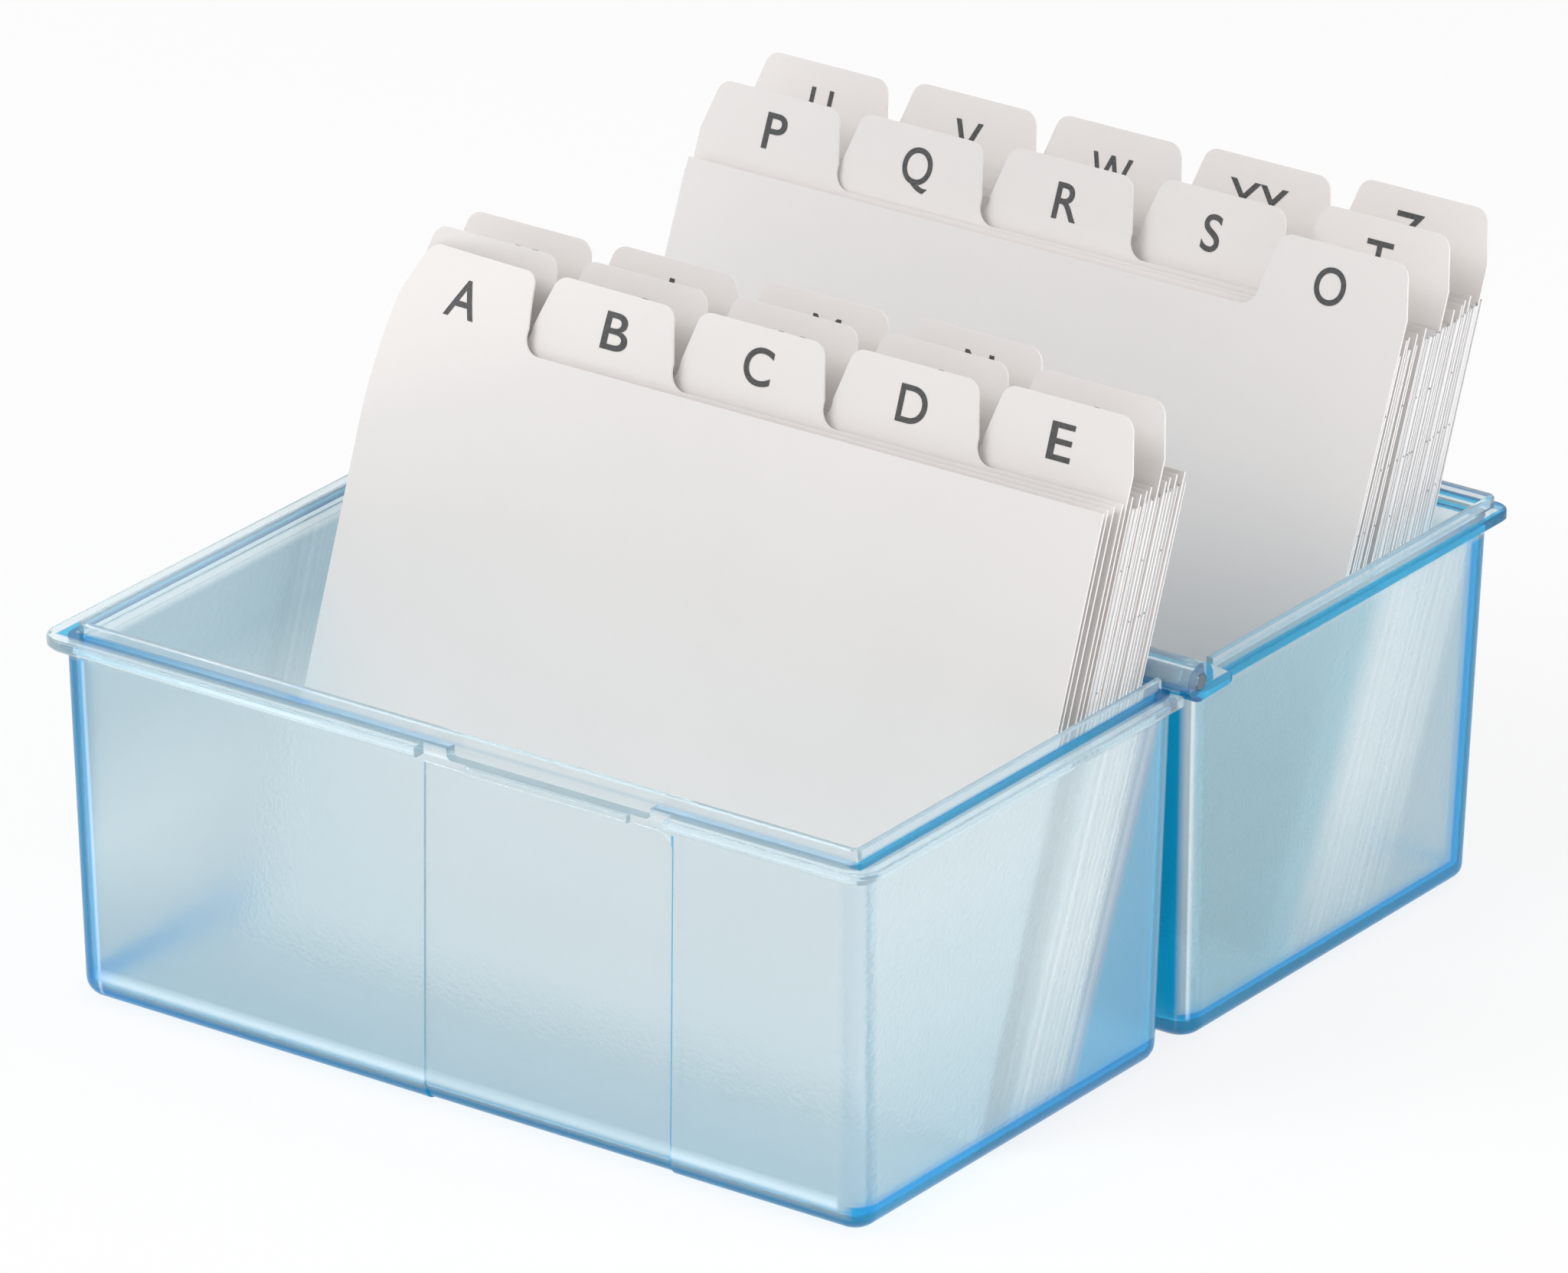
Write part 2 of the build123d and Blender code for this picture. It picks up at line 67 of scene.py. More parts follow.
# %% Camera
PICTURE_WIDTH = 2048
FOCAL_PIXELS = 19974.3
SENSOR_MM = 36.0
CAMERA_AZIMUTH = 36.554
CAMERA_ELEVATION = 23.478
CAMERA_ROLL = -0.5
CAMERA_DISTANCE = 2.5687
CAMERA_SIGHT = 20
AIM_FROM_HINGE = Vector((-8.34, 11.5, 0.0)) * MM
AIM_HEIGHT = 47.64 * MM


def camera_axes(azimuth, elevation, roll):
    """Right, up and forward directions of a camera that looks along +Y at azimuth 0."""
    turn, tilt, bank = (math.radians(v) for v in (azimuth, elevation, roll))
    level = Vector((-math.sin(turn), math.cos(turn), 0)) * math.cos(tilt)
    forward = level - Vector((0, 0, math.sin(tilt)))
    right = forward.cross(Vector((0, 0, 1))).normalized()
    up = right.cross(forward)
    banked_right = right * math.cos(bank) + up * math.sin(bank)
    banked_up = up * math.cos(bank) - right * math.sin(bank)
    return banked_right, banked_up, forward


right, up, forward = camera_axes(CAMERA_AZIMUTH, CAMERA_ELEVATION, CAMERA_ROLL)
aim = Vector((0, hinge.y, AIM_HEIGHT)) + AIM_FROM_HINGE
camera_data = bpy.data.cameras.new("photo_camera")
camera_data.sensor_fit = "HORIZONTAL"
camera_data.sensor_width = SENSOR_MM
camera_data.lens = FOCAL_PIXELS / PICTURE_WIDTH * SENSOR_MM
camera_data.clip_end = CAMERA_SIGHT
camera = bpy.data.objects.new("photo_camera", camera_data)
turned = Matrix((right, up, -forward)).transposed().to_4x4()
camera.matrix_world = Matrix.Translation(aim - forward * CAMERA_DISTANCE) @ turned
scene.collection.objects.link(camera)
scene.camera = camera
print("lens", round(camera_data.lens, 1), "mm")

# %% [markdown]
# ## Small node helpers
# Shaders are built from many small math nodes. Written out one by one they hide what they are for,
# so a few helpers add a node, link it and hand back its output, which can go straight into the
# next one.

# %% Small node helpers


def calculate(tree, operation, *values):
    """One math node; each value is a socket to link or a plain number."""
    node = tree.nodes.new("ShaderNodeMath")
    node.operation = operation
    for slot, value in enumerate(values):
        if isinstance(value, (int, float)):
            node.inputs[slot].default_value = value
        else:
            tree.links.new(value, node.inputs[slot])
    return node.outputs[0]


def combine(tree, operation, masks):
    """Several masks taken together by one math operation."""
    result = masks[0]
    for mask in masks[1:]:
        result = calculate(tree, operation, result, mask)
    return result


def strongest(tree, *masks):
    """The largest of several masks."""
    return combine(tree, "MAXIMUM", masks)


def mix_shaders(tree, factor, first, second):
    """Two shaders mixed by a value."""
    node = tree.nodes.new("ShaderNodeMixShader")
    tree.links.new(factor, node.inputs[0])
    tree.links.new(first.outputs[0], node.inputs[1])
    tree.links.new(second.outputs[0], node.inputs[2])
    return node.outputs[0]


print("helpers: math, masks, shaders")

# %% [markdown]
# ## White room
# The box stands in a white room. The room is seen as plain white, but it lights the box more
# softly than that, so the world mixes two backgrounds: one for the rays that show it, also in a
# mirror or through glass, and a weaker one for the rays that carry its light.

# %% White room
ROOM_LIGHT = 0.62
SEEN_WHITE = 1.0
SHOWING_RAYS = ("Is Camera Ray", "Is Glossy Ray", "Is Transmission Ray")


def seen_rays(tree):
    """1 for rays that show the background: straight from the camera, mirrored or through glass."""
    path = tree.nodes.new("ShaderNodeLightPath")
    return strongest(tree, *(path.outputs[label] for label in SHOWING_RAYS))


def white_background(tree, strength):
    """A plain white background of some strength."""
    shader = tree.nodes.new("ShaderNodeBackground")
    shader.inputs["Color"].default_value = (1, 1, 1, 1)
    shader.inputs["Strength"].default_value = strength
    return shader


world = bpy.data.worlds.new("white_room")
scene.world = world
world.use_nodes = True
room = world.node_tree
room.nodes.clear()
room_out = room.nodes.new("ShaderNodeOutputWorld")
room_lit = white_background(room, ROOM_LIGHT)
room_seen = white_background(room, SEEN_WHITE)
room.links.new(mix_shaders(room, seen_rays(room), room_lit, room_seen), room_out.inputs["Surface"])
print("room light:", ROOM_LIGHT)

# %% [markdown]
# ## Table
# Under the box lies a wide white table. It shows almost white to the camera but keeps a share of
# a plain matt surface, so that it still takes the soft shadow of the box. It lies a hair below
# the trays, which keeps the two surfaces from meeting exactly.

# %% Table
FLOOR_DROP = 0.2 * MM
FLOOR_HALF = 6.0
FLOOR_WHITE_SHARE = 0.80
TABLE_GREY = (0.9, 0.9, 0.9, 1)


def new_material(name):
    """An empty node material with its output."""
    material = bpy.data.materials.new(name)
    material.use_nodes = True
    tree = material.node_tree
    tree.nodes.clear()
    return material, tree, tree.nodes.new("ShaderNodeOutputMaterial")


table_white, tree, out = new_material("table_white")
table_plain = tree.nodes.new("ShaderNodeBsdfDiffuse")
table_plain.inputs["Color"].default_value = TABLE_GREY
table_glow = tree.nodes.new("ShaderNodeEmission")
table_glow.inputs["Strength"].default_value = SEEN_WHITE
white_share = calculate(tree, "MULTIPLY", seen_rays(tree), FLOOR_WHITE_SHARE)
tree.links.new(mix_shaders(tree, white_share, table_plain, table_glow), out.inputs["Surface"])

table_mesh = bpy.data.meshes.new("table")
corners = [Vector(signs) * FLOOR_HALF for signs in ((-1, -1), (1, -1), (1, 1), (-1, 1))]
table_mesh.from_pydata([(corner.x, corner.y, -FLOOR_DROP) for corner in corners], [], [(0, 1, 2, 3)])
table = bpy.data.objects.new("table", table_mesh)
table.data.materials.append(table_white)
scene.collection.objects.link(table)
print("table:", 2 * FLOOR_HALF, "m wide")

# %% [markdown]
# ## Lamps
# A large soft lamp high on the left gives the sheets their gentle shading, and a weaker one fills
# from the right. Area lamps are used because their size makes the shadows soft.

# %% Lamps
KEY_WATTS = 10.2
KEY_PLACE = (-0.75, -0.75, 1.15)
FILL_WATTS = 7.0
FILL_PLACE = (1.15, 0.2, 0.5)
LAMP_SIZE = 0.9
LAMP_AIM = Vector((0, 0, 0.06))


def soft_lamp(name, place, watts):
    """A square area lamp that faces the middle of the box."""
    data = bpy.data.lights.new(name, "AREA")
    data.energy = watts
    data.size = LAMP_SIZE
    lamp = bpy.data.objects.new(name, data)
    lamp.location = place
    lamp.rotation_euler = (LAMP_AIM - Vector(place)).to_track_quat("-Z", "Y").to_euler()
    scene.collection.objects.link(lamp)


soft_lamp("key_lamp", KEY_PLACE, KEY_WATTS)
soft_lamp("fill_lamp", FILL_PLACE, FILL_WATTS)
print("lamps:", KEY_WATTS, "and", FILL_WATTS, "watts")

# %% [markdown]
# ## Shared surface effects
# Two effects are used by more than one finish, so each is a node group: the fine leather-like
# grain that a mould leaves on plastic, and the cloudy fibres of paper board. Both put out a
# height for a bump and a mask for colour, and each finish sets its own scale.

# %% Shared surface effects


def effect_group(name, inputs, outputs):
    """A shader node group with float inputs and outputs, and its two end nodes."""
    group = bpy.data.node_groups.new(name, "ShaderNodeTree")
    group.interface.new_socket("Vector", in_out="INPUT", socket_type="NodeSocketVector")
    for label, value in inputs:
        socket = group.interface.new_socket(label, in_out="INPUT", socket_type="NodeSocketFloat")
        socket.default_value = value
    for label in outputs:
        group.interface.new_socket(label, in_out="OUTPUT", socket_type="NodeSocketFloat")
    return group, group.nodes.new("NodeGroupInput"), group.nodes.new("NodeGroupOutput")


def noise_effect(name, height, cloud):
    """A group of two noises; each is given as its scale's label, that scale and its detail."""
    group, entry, leave = effect_group(name, [height[:2], cloud[:2]], ["Height", "Cloud"])
    for output, (label, _, detail) in (("Height", height), ("Cloud", cloud)):
        noise = group.nodes.new("ShaderNodeTexNoise")
        noise.inputs["Detail"].default_value = detail
        group.links.new(entry.outputs["Vector"], noise.inputs["Vector"])
        group.links.new(entry.outputs[label], noise.inputs["Scale"])
        group.links.new(noise.outputs["Fac"], leave.inputs[output])
    return group


mould_grain = noise_effect("mould_grain", ("Fine scale", 1500.0, 3.0), ("Broad scale", 60.0, 2.0))
paper_fibre = noise_effect("paper_fibre", ("Fibre scale", 900.0, 6.0), ("Cloud scale", 35.0, 3.0))
print("effects:", mould_grain.name, paper_fibre.name)

# %% [markdown]
# ## Using the effects
# A finish places a group, feeds it with Object coordinates so that the pattern stays on its piece,
# and then turns what comes out into colour, roughness or bump. These helpers do each of those
# steps in one line.

# %% Using the effects
COLOUR_INPUTS = (6, 7)
COLOUR_OUTPUT = 2


def place_group(tree, group, values):
    """An effect group placed in a material, fed with Object coordinates and its own values."""
    coordinates = tree.nodes.new("ShaderNodeTexCoord")
    placed = tree.nodes.new("ShaderNodeGroup")
    placed.node_tree = group
    tree.links.new(coordinates.outputs["Object"], placed.inputs["Vector"])
    for label, value in values.items():
        placed.inputs[label].default_value = value
    return placed


def remap(tree, source, low, high, to_low, to_high):
    """Map a value range linearly onto another, held at its ends."""
    node = tree.nodes.new("ShaderNodeMapRange")
    node.clamp = True
    for label, value in zip(("From Min", "From Max", "To Min", "To Max"), (low, high, to_low, to_high)):
        node.inputs[label].default_value = value
    tree.links.new(source, node.inputs["Value"])
    return node.outputs["Result"]


def blend_colours(tree, factor, first, second):
    """Mix two colours by a value; each is a plain colour or a socket."""
    node = tree.nodes.new("ShaderNodeMix")
    node.data_type = "RGBA"
    for slot, colour in zip(COLOUR_INPUTS, (first, second)):
        if isinstance(colour, tuple):
            node.inputs[slot].default_value = (*colour, 1)
        else:
            tree.links.new(colour, node.inputs[slot])
    tree.links.new(factor, node.inputs[0])
    return node.outputs[COLOUR_OUTPUT]


def add_bump(tree, height, strength, distance):
    """A bump with its height linked; the strength is a plain number or a socket."""
    bump = tree.nodes.new("ShaderNodeBump")
    bump.inputs["Distance"].default_value = distance
    if isinstance(strength, float):
        bump.inputs["Strength"].default_value = strength
    else:
        tree.links.new(strength, bump.inputs["Strength"])
    tree.links.new(height, bump.inputs["Height"])
    return bump.outputs["Normal"]


print("helpers: group, range, colour, bump")

# %% [markdown]
# ## How deep a point lies
# Clear plastic with a little dye looks pale through a thin wall and deep blue wherever light
# runs along it: over the walls at the rim, along the lower edges and up the corners. That blue is
# painted on, so the material has to know how deep a point lies inside the drafted outline of its
# tray. This group measures the depth from the side walls, the far wall and the hinge wall.

# %% How deep a point lies
TRAY_SIZES = [
    "Facing", "Half width", "Rim height", "Far side", "Hinge side", "Side draft", "Far draft", "Hinge draft",
]
DEPTHS = ["Side", "Far", "Hinge", "Drop"]
wall_depth, entry, leave = effect_group("wall_depth", [(label, 0.0) for label in TRAY_SIZES], DEPTHS)
size_of = entry.outputs
split = wall_depth.nodes.new("ShaderNodeSeparateXYZ")
wall_depth.links.new(entry.outputs["Vector"], split.inputs[0])


def inwards(high, low):
    """Distance along Y, turned so that it grows inwards on either tray."""
    distance = calculate(wall_depth, "SUBTRACT", high, low)
    return calculate(wall_depth, "MULTIPLY", distance, size_of["Facing"])


def behind_draft(distance, drop, draft):
    """Depth behind a wall that leans inwards on its way down."""
    lean = calculate(wall_depth, "MULTIPLY", drop, draft)
    return calculate(wall_depth, "SUBTRACT", distance, lean)


drop = calculate(wall_depth, "SUBTRACT", size_of["Rim height"], split.outputs["Z"])
from_middle = calculate(wall_depth, "ABSOLUTE", split.outputs["X"])
from_side = calculate(wall_depth, "SUBTRACT", size_of["Half width"], from_middle)
from_far = inwards(split.outputs["Y"], size_of["Far side"])
from_hinge = inwards(size_of["Hinge side"], split.outputs["Y"])
measured = (
    behind_draft(from_side, drop, size_of["Side draft"]),
    behind_draft(from_far, drop, size_of["Far draft"]),
    behind_draft(from_hinge, drop, size_of["Hinge draft"]),
    drop,
)
for label, value in zip(DEPTHS, measured):
    wall_depth.links.new(value, leave.inputs[label])
print("depths:", ", ".join(DEPTHS))

# %% [markdown]
# ## Measures of the two trays
# The same group serves both trays. The rear tray is turned round and its far wall leans more, so
# each tray has its own list of sizes, in the order of the group's inputs.

# %% Measures of the two trays
HALF_WIDTH = 82.2 * MM
RIM_HEIGHT = 65.9 * MM
REACH = 90.7 * MM
HINGE_ROOM = 1.7 * MM
SIDE_SLOPE = math.tan(math.radians(1.0))
REAR_SLOPE = math.tan(math.radians(4.0))
FRONT_HINGE_SLOPE = math.tan(math.radians(2.5))

front_places = [1.0, HALF_WIDTH, RIM_HEIGHT, hinge.y - REACH, hinge.y - HINGE_ROOM]
rear_places = [-1.0, HALF_WIDTH, RIM_HEIGHT, hinge.y + REACH, hinge.y + HINGE_ROOM]
front_sizes = front_places + [SIDE_SLOPE, SIDE_SLOPE, FRONT_HINGE_SLOPE]
rear_sizes = rear_places + [SIDE_SLOPE, REAR_SLOPE, 0.0]


def read_tray(tree, sizes):
    """Depths and place of a surface point on one tray, as sockets by name."""
    depth = place_group(tree, wall_depth, dict(zip(TRAY_SIZES, sizes)))
    coordinates = tree.nodes.new("ShaderNodeTexCoord")
    place = tree.nodes.new("ShaderNodeSeparateXYZ")
    tree.links.new(coordinates.outputs["Object"], place.inputs[0])
    return {socket.name: socket for socket in (*depth.outputs, *place.outputs)}


print("front wall at", round(hinge.y - REACH, 4), "rear wall at", round(hinge.y + REACH, 4))

# %% [markdown]
# ## Masks on the walls
# Colour is laid on the trays with masks, values from 0 to 1 made from those depths and heights. A
# mask rises or falls between two limits, or does both as a band. Masks are multiplied to keep what
# they share, and the strongest is taken to join them.

# %% Masks on the walls
RIM_FADE = millimetres(61.6, 62.6)
OUTER_FACE = millimetres(0.6, 1.0)
EDGE_DEPTH = millimetres(2.2, 3.8)
HINGE_WALL_FACE = millimetres(0.3, 0.9)
HINGE_WALL_ENDS = millimetres(7, 16)


def product(tree, *masks):
    """Several masks multiplied."""
    return combine(tree, "MULTIPLY", masks)


def rising(tree, source, limits, top=1.0):
    """0 below the first limit and top above the second."""
    return remap(tree, source, *limits, 0.0, top)


def falling(tree, source, limits, top=1.0):
    """Top below the first limit and 0 above the second."""
    return remap(tree, source, *limits, top, 0.0)


def band(tree, source, limits):
    """Rises between the first two limits and falls back between the last two."""
    return product(tree, rising(tree, source, limits[:2]), falling(tree, source, limits[2:]))


def below_rim(tree, at):
    """1 on the walls and 0 at the rim, where flange, lip and knuckles keep their own colour."""
    return falling(tree, at["Z"], RIM_FADE)


def low_edge(tree, at, label, heights):
    """Lower edge along one wall, from the height where the painted blue is full to where it is gone."""
    return product(tree, falling(tree, at["Z"], heights), falling(tree, at[label], EDGE_DEPTH))


def upright_corner(tree, at, label, depths):
    """Upright corner between the side walls and one other wall."""
    return falling(tree, strongest(tree, at["Side"], at[label]), depths)


def hinge_wall_ends(tree, at):
    """Outer face of the wall at the hinge, towards its ends, where the trays stand close together."""
    outer = falling(tree, at["Hinge"], HINGE_WALL_FACE)
    return product(tree, outer, falling(tree, at["Side"], HINGE_WALL_ENDS))


print("wall masks end at", RIM_FADE[1], "m")

# %% [markdown]
# ## Cards seen through the walls
# The frosted side walls show the filed cards as soft light streaks that lean with the run. Here
# the streaks are painted light, a faint glow of the wall itself. A noise with one dimension draws
# them: it runs along the tray and is sheared by the lean, so each streak follows a card.

# %% Cards seen through the walls
STREAK_SCALE = 700.0
STREAK_DETAIL = 2.0
STREAK_NOISE = (0.40, 0.65)
STREAK_LIGHT = (0.25, 1.0)
STREAK_FOOT = millimetres(4, 9)
FIRST_CARD_FADE = 2 * MM
LAST_CARD_FADE = 4 * MM
FRONT_CARD_SLOPE = 0.36
FRONT_CARDS_END = 3.4 * MM
FRONT_CARDS_START = 24.0 * MM
REAR_CARD_SLOPE = -0.433
REAR_CARDS_START = 59.5 * MM
REAR_CARDS_END = REAR_CARDS_START + 25 * MM
REAR_CARD_SHARE = 0.6


def along_cards(tree, at, slope):
    """Distance from the hinge wall, sheared so that it stays the same all along a leaning card."""
    return calculate(tree, "SUBTRACT", at["Hinge"], calculate(tree, "MULTIPLY", at["Drop"], slope))


def painted_card_streaks(tree, at, slope, start, end):
    """Painted light streaks on the side walls, where card edges show through the frosted plastic."""
    distance = along_cards(tree, at, slope)
    streak = tree.nodes.new("ShaderNodeTexNoise")
    streak.noise_dimensions = "1D"
    streak.inputs["Scale"].default_value = STREAK_SCALE
    streak.inputs["Detail"].default_value = STREAK_DETAIL
    tree.links.new(distance, streak.inputs["W"])
    lines = remap(tree, streak.outputs["Fac"], *STREAK_NOISE, *STREAK_LIGHT)
    run = band(tree, distance, (start, start + FIRST_CARD_FADE, end - LAST_CARD_FADE, end))
    outer = falling(tree, at["Side"], OUTER_FACE)
    foot = rising(tree, at["Z"], STREAK_FOOT)
    return product(tree, lines, run, outer, foot, below_rim(tree, at))


def front_painted_streaks(tree, at):
    """Painted light streaks for the card edges of the front run."""
    return painted_card_streaks(tree, at, FRONT_CARD_SLOPE, FRONT_CARDS_END, FRONT_CARDS_START)


def rear_painted_streaks(tree, at):
    """Painted light streaks for the card edges of the rear run, which lies deeper behind its wall."""
    streaks = painted_card_streaks(tree, at, REAR_CARD_SLOPE, REAR_CARDS_START, REAR_CARDS_END)
    return calculate(tree, "MULTIPLY", streaks, REAR_CARD_SHARE)


print("front cards:", FRONT_CARDS_END, "to", FRONT_CARDS_START, "m from the hinge wall")

# %% [markdown]
# ## Walls without cards
# Where a side wall has no cards behind it, one looks through to the other wall, and the plastic
# looks bluer; that is painted here as a faint bluish light of the wall. On the front tray that is
# the corner past the cards, on the rear tray the part before them. The edge of these zones leans
# with the cards.

# %% Walls without cards
PAST_FRONT_CARDS = (FRONT_CARDS_END, FRONT_CARDS_END + 2 * MM)
BEFORE_REAR_CARDS = (REAR_CARDS_START - 6 * MM, REAR_CARDS_START)
REAR_EMPTY_GLOW_SHARE = 0.45


def front_empty_glow(tree, at):
    """Painted bluish light on the side walls of the front tray past the cards."""
    past = falling(tree, along_cards(tree, at, FRONT_CARD_SLOPE), PAST_FRONT_CARDS)
    return product(tree, past, falling(tree, at["Side"], OUTER_FACE), below_rim(tree, at))


def rear_empty_glow(tree, at):
    """Painted bluish light on the side walls of the rear tray before the cards."""
    before = falling(tree, along_cards(tree, at, REAR_CARD_SLOPE), BEFORE_REAR_CARDS, REAR_EMPTY_GLOW_SHARE)
    return product(tree, before, falling(tree, at["Side"], OUTER_FACE), below_rim(tree, at))


print("rear cards start", REAR_CARDS_START, "m from the hinge wall")

# %% [markdown]
# ## Painted shade
# The walls are not even: they grow darker towards the foot, and shade is painted on the left wall
# of the front tray towards the rim, on its right wall off the cards, and on the walls without cards
# behind them. These masks say how much of the shade colour a point gets.

# %% Painted shade
FOOT_TONE = 0.36
FOOT_HEIGHTS = millimetres(5, 30)
LEFT_TONE = 0.7
LEFT_WALL = millimetres(-78, -74)
LEFT_HEIGHTS = millimetres(25, 50)
PAST_CARDS_TONE = 0.55
BEFORE_FRONT_CARDS = (FRONT_CARDS_START, FRONT_CARDS_START + 8 * MM)
RIGHT_HALF = millimetres(0, 10)
RIGHT_HEIGHTS = millimetres(10, 55)
RIGHT_TONES = (0.5, 0.1)
BEFORE_CARDS_TONE = 0.6
OFF_HINGE_WALL = millimetres(2.0, 4.0)
BEYOND_TONE = 0.3
BEYOND_REAR_CARDS = (REAR_CARDS_START + 22 * MM, REAR_CARDS_START + 26 * MM)


def wall_foot(tree, at):
    """A faint deeper tone towards the foot of every wall."""
    return falling(tree, at["Z"], FOOT_HEIGHTS, FOOT_TONE)


def front_shade(tree, at):
    """Painted shade on the left wall towards the rim, the right wall off the cards and the wall past the
    cards; darker towards the foot of the walls.
    """
    left = product(tree, falling(tree, at["X"], LEFT_WALL, LEFT_TONE), rising(tree, at["Z"], LEFT_HEIGHTS))
    distance = along_cards(tree, at, FRONT_CARD_SLOPE)
    past = falling(tree, distance, PAST_FRONT_CARDS, PAST_CARDS_TONE)
    before = product(tree, rising(tree, distance, BEFORE_FRONT_CARDS), falling(tree, at["Side"], OUTER_FACE))
    to_foot = remap(tree, at["Z"], *RIGHT_HEIGHTS, *RIGHT_TONES)
    right = product(tree, before, rising(tree, at["X"], RIGHT_HALF), to_foot)
    return product(tree, strongest(tree, left, right, past, wall_foot(tree, at)), below_rim(tree, at))


def rear_shade(tree, at):
    """Painted shade on the parts of the rear tray's side walls that have no cards behind them; darker towards
    the foot.
    """
    distance = along_cards(tree, at, REAR_CARD_SLOPE)
    before = falling(tree, distance, BEFORE_REAR_CARDS, BEFORE_CARDS_TONE)
    before = product(tree, before, rising(tree, at["Hinge"], OFF_HINGE_WALL))
    beyond = rising(tree, distance, BEYOND_REAR_CARDS, BEYOND_TONE)
    return product(tree, strongest(tree, before, beyond, wall_foot(tree, at)), below_rim(tree, at))


print("tones:", FOOT_TONE, LEFT_TONE, PAST_CARDS_TONE, BEFORE_CARDS_TONE, BEYOND_TONE)

# %% [markdown]
# ## Line of the catch panel
# The catch panel is a shallow step in the front wall, and its right edge gets a thin painted blue line.
# The line leans a little with the panel, so the mask straightens that lean before it measures the
# distance to the line.

# %% Line of the catch panel
PANEL_EDGE = 44.7 * MM
PANEL_TOP = 62.4 * MM
PANEL_SLOPE = math.tan(math.radians(2.0))
PANEL_LINE_HALF = 0.2 * MM
PANEL_LINE_FADE = 0.1 * MM
PANEL_TOP_FADE = 0.3 * MM
PANEL_FACE = millimetres(0.9, 1.2)
PANEL_LINE_SHARE = 0.9


def panel_line(tree, at):
    """Painted thin blue line at the right edge of the catch panel on the front wall."""
    lean = calculate(tree, "MULTIPLY", calculate(tree, "SUBTRACT", PANEL_TOP, at["Z"]), PANEL_SLOPE)
    straight = calculate(tree, "ADD", at["X"], lean)
    left = PANEL_EDGE - PANEL_LINE_HALF
    right = PANEL_EDGE + PANEL_LINE_HALF
    line = band(tree, straight, (left - PANEL_LINE_FADE, left, right, right + PANEL_LINE_FADE))
    below = rising(tree, at["Z"], (PANEL_TOP, PANEL_TOP - PANEL_TOP_FADE))
    line = product(tree, line, below, falling(tree, at["Far"], PANEL_FACE))
    return calculate(tree, "MULTIPLY", line, PANEL_LINE_SHARE)


print("panel line at x", PANEL_EDGE, "m")

# %% [markdown]
# ## Painted blue of the front tray
# On the front tray the deep blue is painted on the ledge beside the lip, along the lower edges, up
# the left corner, at the hinge, and on the wall past the cards. Each is a mask, and the strongest
# of them counts.

# %% Painted blue of the front tray
LEDGE_WIDTH = millimetres(-0.4, 0.1, 2.1, 2.4)
LEDGE_HEIGHTS = millimetres(65.4, 65.7, 66.1, 66.4)
LEDGE_ALONG = millimetres(-80, -10)
LEDGE_SHARES = (1.0, 0.4)
LEDGE_SIDES = millimetres(2.0, 4.0)
MIDDLE = millimetres(-10, 10)
HIDDEN_CORNER_SHARE = 0.08
LEFT_CORNER = millimetres(3.4, 5.0)
HINGE_CORNER = millimetres(2.6, 3.8)
PAST_DROPS = millimetres(5, 60)
PAST_SHARES = (0.10, 0.32)
FRONT_SIDE_EDGE = millimetres(4.7, 5.1)
FRONT_WALL_EDGE = millimetres(2.2, 3.0)
FLANGE_HEIGHTS = millimetres(62.4, 62.8, 66.1, 66.4)
FLANGE_END = millimetres(2.2, 3.2)
FLANGE_END_SHARE = 0.8
FLANGE_CORNER = millimetres(3.0, 5.0)


def front_ledge(tree, at):
    """Painted deep blue on the top of the walls beside the lip, strongest at the left and along the sides."""
    wall = combine(tree, "MINIMUM", (at["Far"], at["Hinge"], at["Side"]))
    along = remap(tree, at["X"], *LEDGE_ALONG, *LEDGE_SHARES)
    share = strongest(tree, along, falling(tree, at["Side"], LEDGE_SIDES))
    return product(tree, band(tree, wall, LEDGE_WIDTH), band(tree, at["Z"], LEDGE_HEIGHTS), share)


def front_uprights(tree, at):
    """Painted deep blue on the corners, the ends of the hinge wall and the wall past the cards."""
    left_only = remap(tree, at["X"], *MIDDLE, 1.0, HIDDEN_CORNER_SHARE)
    far_corner = product(tree, upright_corner(tree, at, "Far", LEFT_CORNER), left_only)
    hinge_corner = upright_corner(tree, at, "Hinge", HINGE_CORNER)
    past = falling(tree, along_cards(tree, at, FRONT_CARD_SLOPE), PAST_FRONT_CARDS)
    past = product(tree, past, remap(tree, at["Drop"], *PAST_DROPS, *PAST_SHARES))
    uprights = strongest(tree, far_corner, past, hinge_wall_ends(tree, at), hinge_corner)
    return product(tree, uprights, below_rim(tree, at))


def front_painted_blue(tree, at):
    """All the painted deep blue of the front tray."""
    end = falling(tree, at["Hinge"], FLANGE_END, FLANGE_END_SHARE)
    end = product(tree, end, falling(tree, at["Side"], FLANGE_CORNER))
    return strongest(
        tree,
        front_ledge(tree, at),
        front_uprights(tree, at),
        low_edge(tree, at, "Side", FRONT_SIDE_EDGE),
        low_edge(tree, at, "Far", FRONT_WALL_EDGE),
        panel_line(tree, at),
        product(tree, end, band(tree, at["Z"], FLANGE_HEIGHTS)),
    )


print("lower edges to", FRONT_SIDE_EDGE[0], "and", FRONT_WALL_EDGE[0], "m")

# %% [markdown]
# ## Painted blue of the rear tray
# The rear tray has its deep blue painted on the flange, along the lower edges, up the right corner
# and on the hinge barrels. On a barrel it gathers below and behind the pin and lightly over the end
# face, so these masks work from the distance to the hinge line.

# %% Painted blue of the rear tray
FLANGE_EDGE = millimetres(-1.0, -0.7)
RIGHT_CORNER = millimetres(6.6, 7.4)
REAR_SIDE_EDGE = millimetres(4.4, 4.8)
REAR_WALL_EDGE = millimetres(1.9, 2.8)
BARREL_RADIUS = 3.45 * MM
BARREL_FADE = 0.2 * MM
BARREL_BELOW = millimetres(-1.6, -0.9)
BARREL_BACK = millimetres(1.0, 1.6)
BARREL_END = 85.0 * MM
BARREL_END_FACE = (BARREL_END - 0.3 * MM, BARREL_END - 0.1 * MM)
BARREL_END_SHARE = 0.6


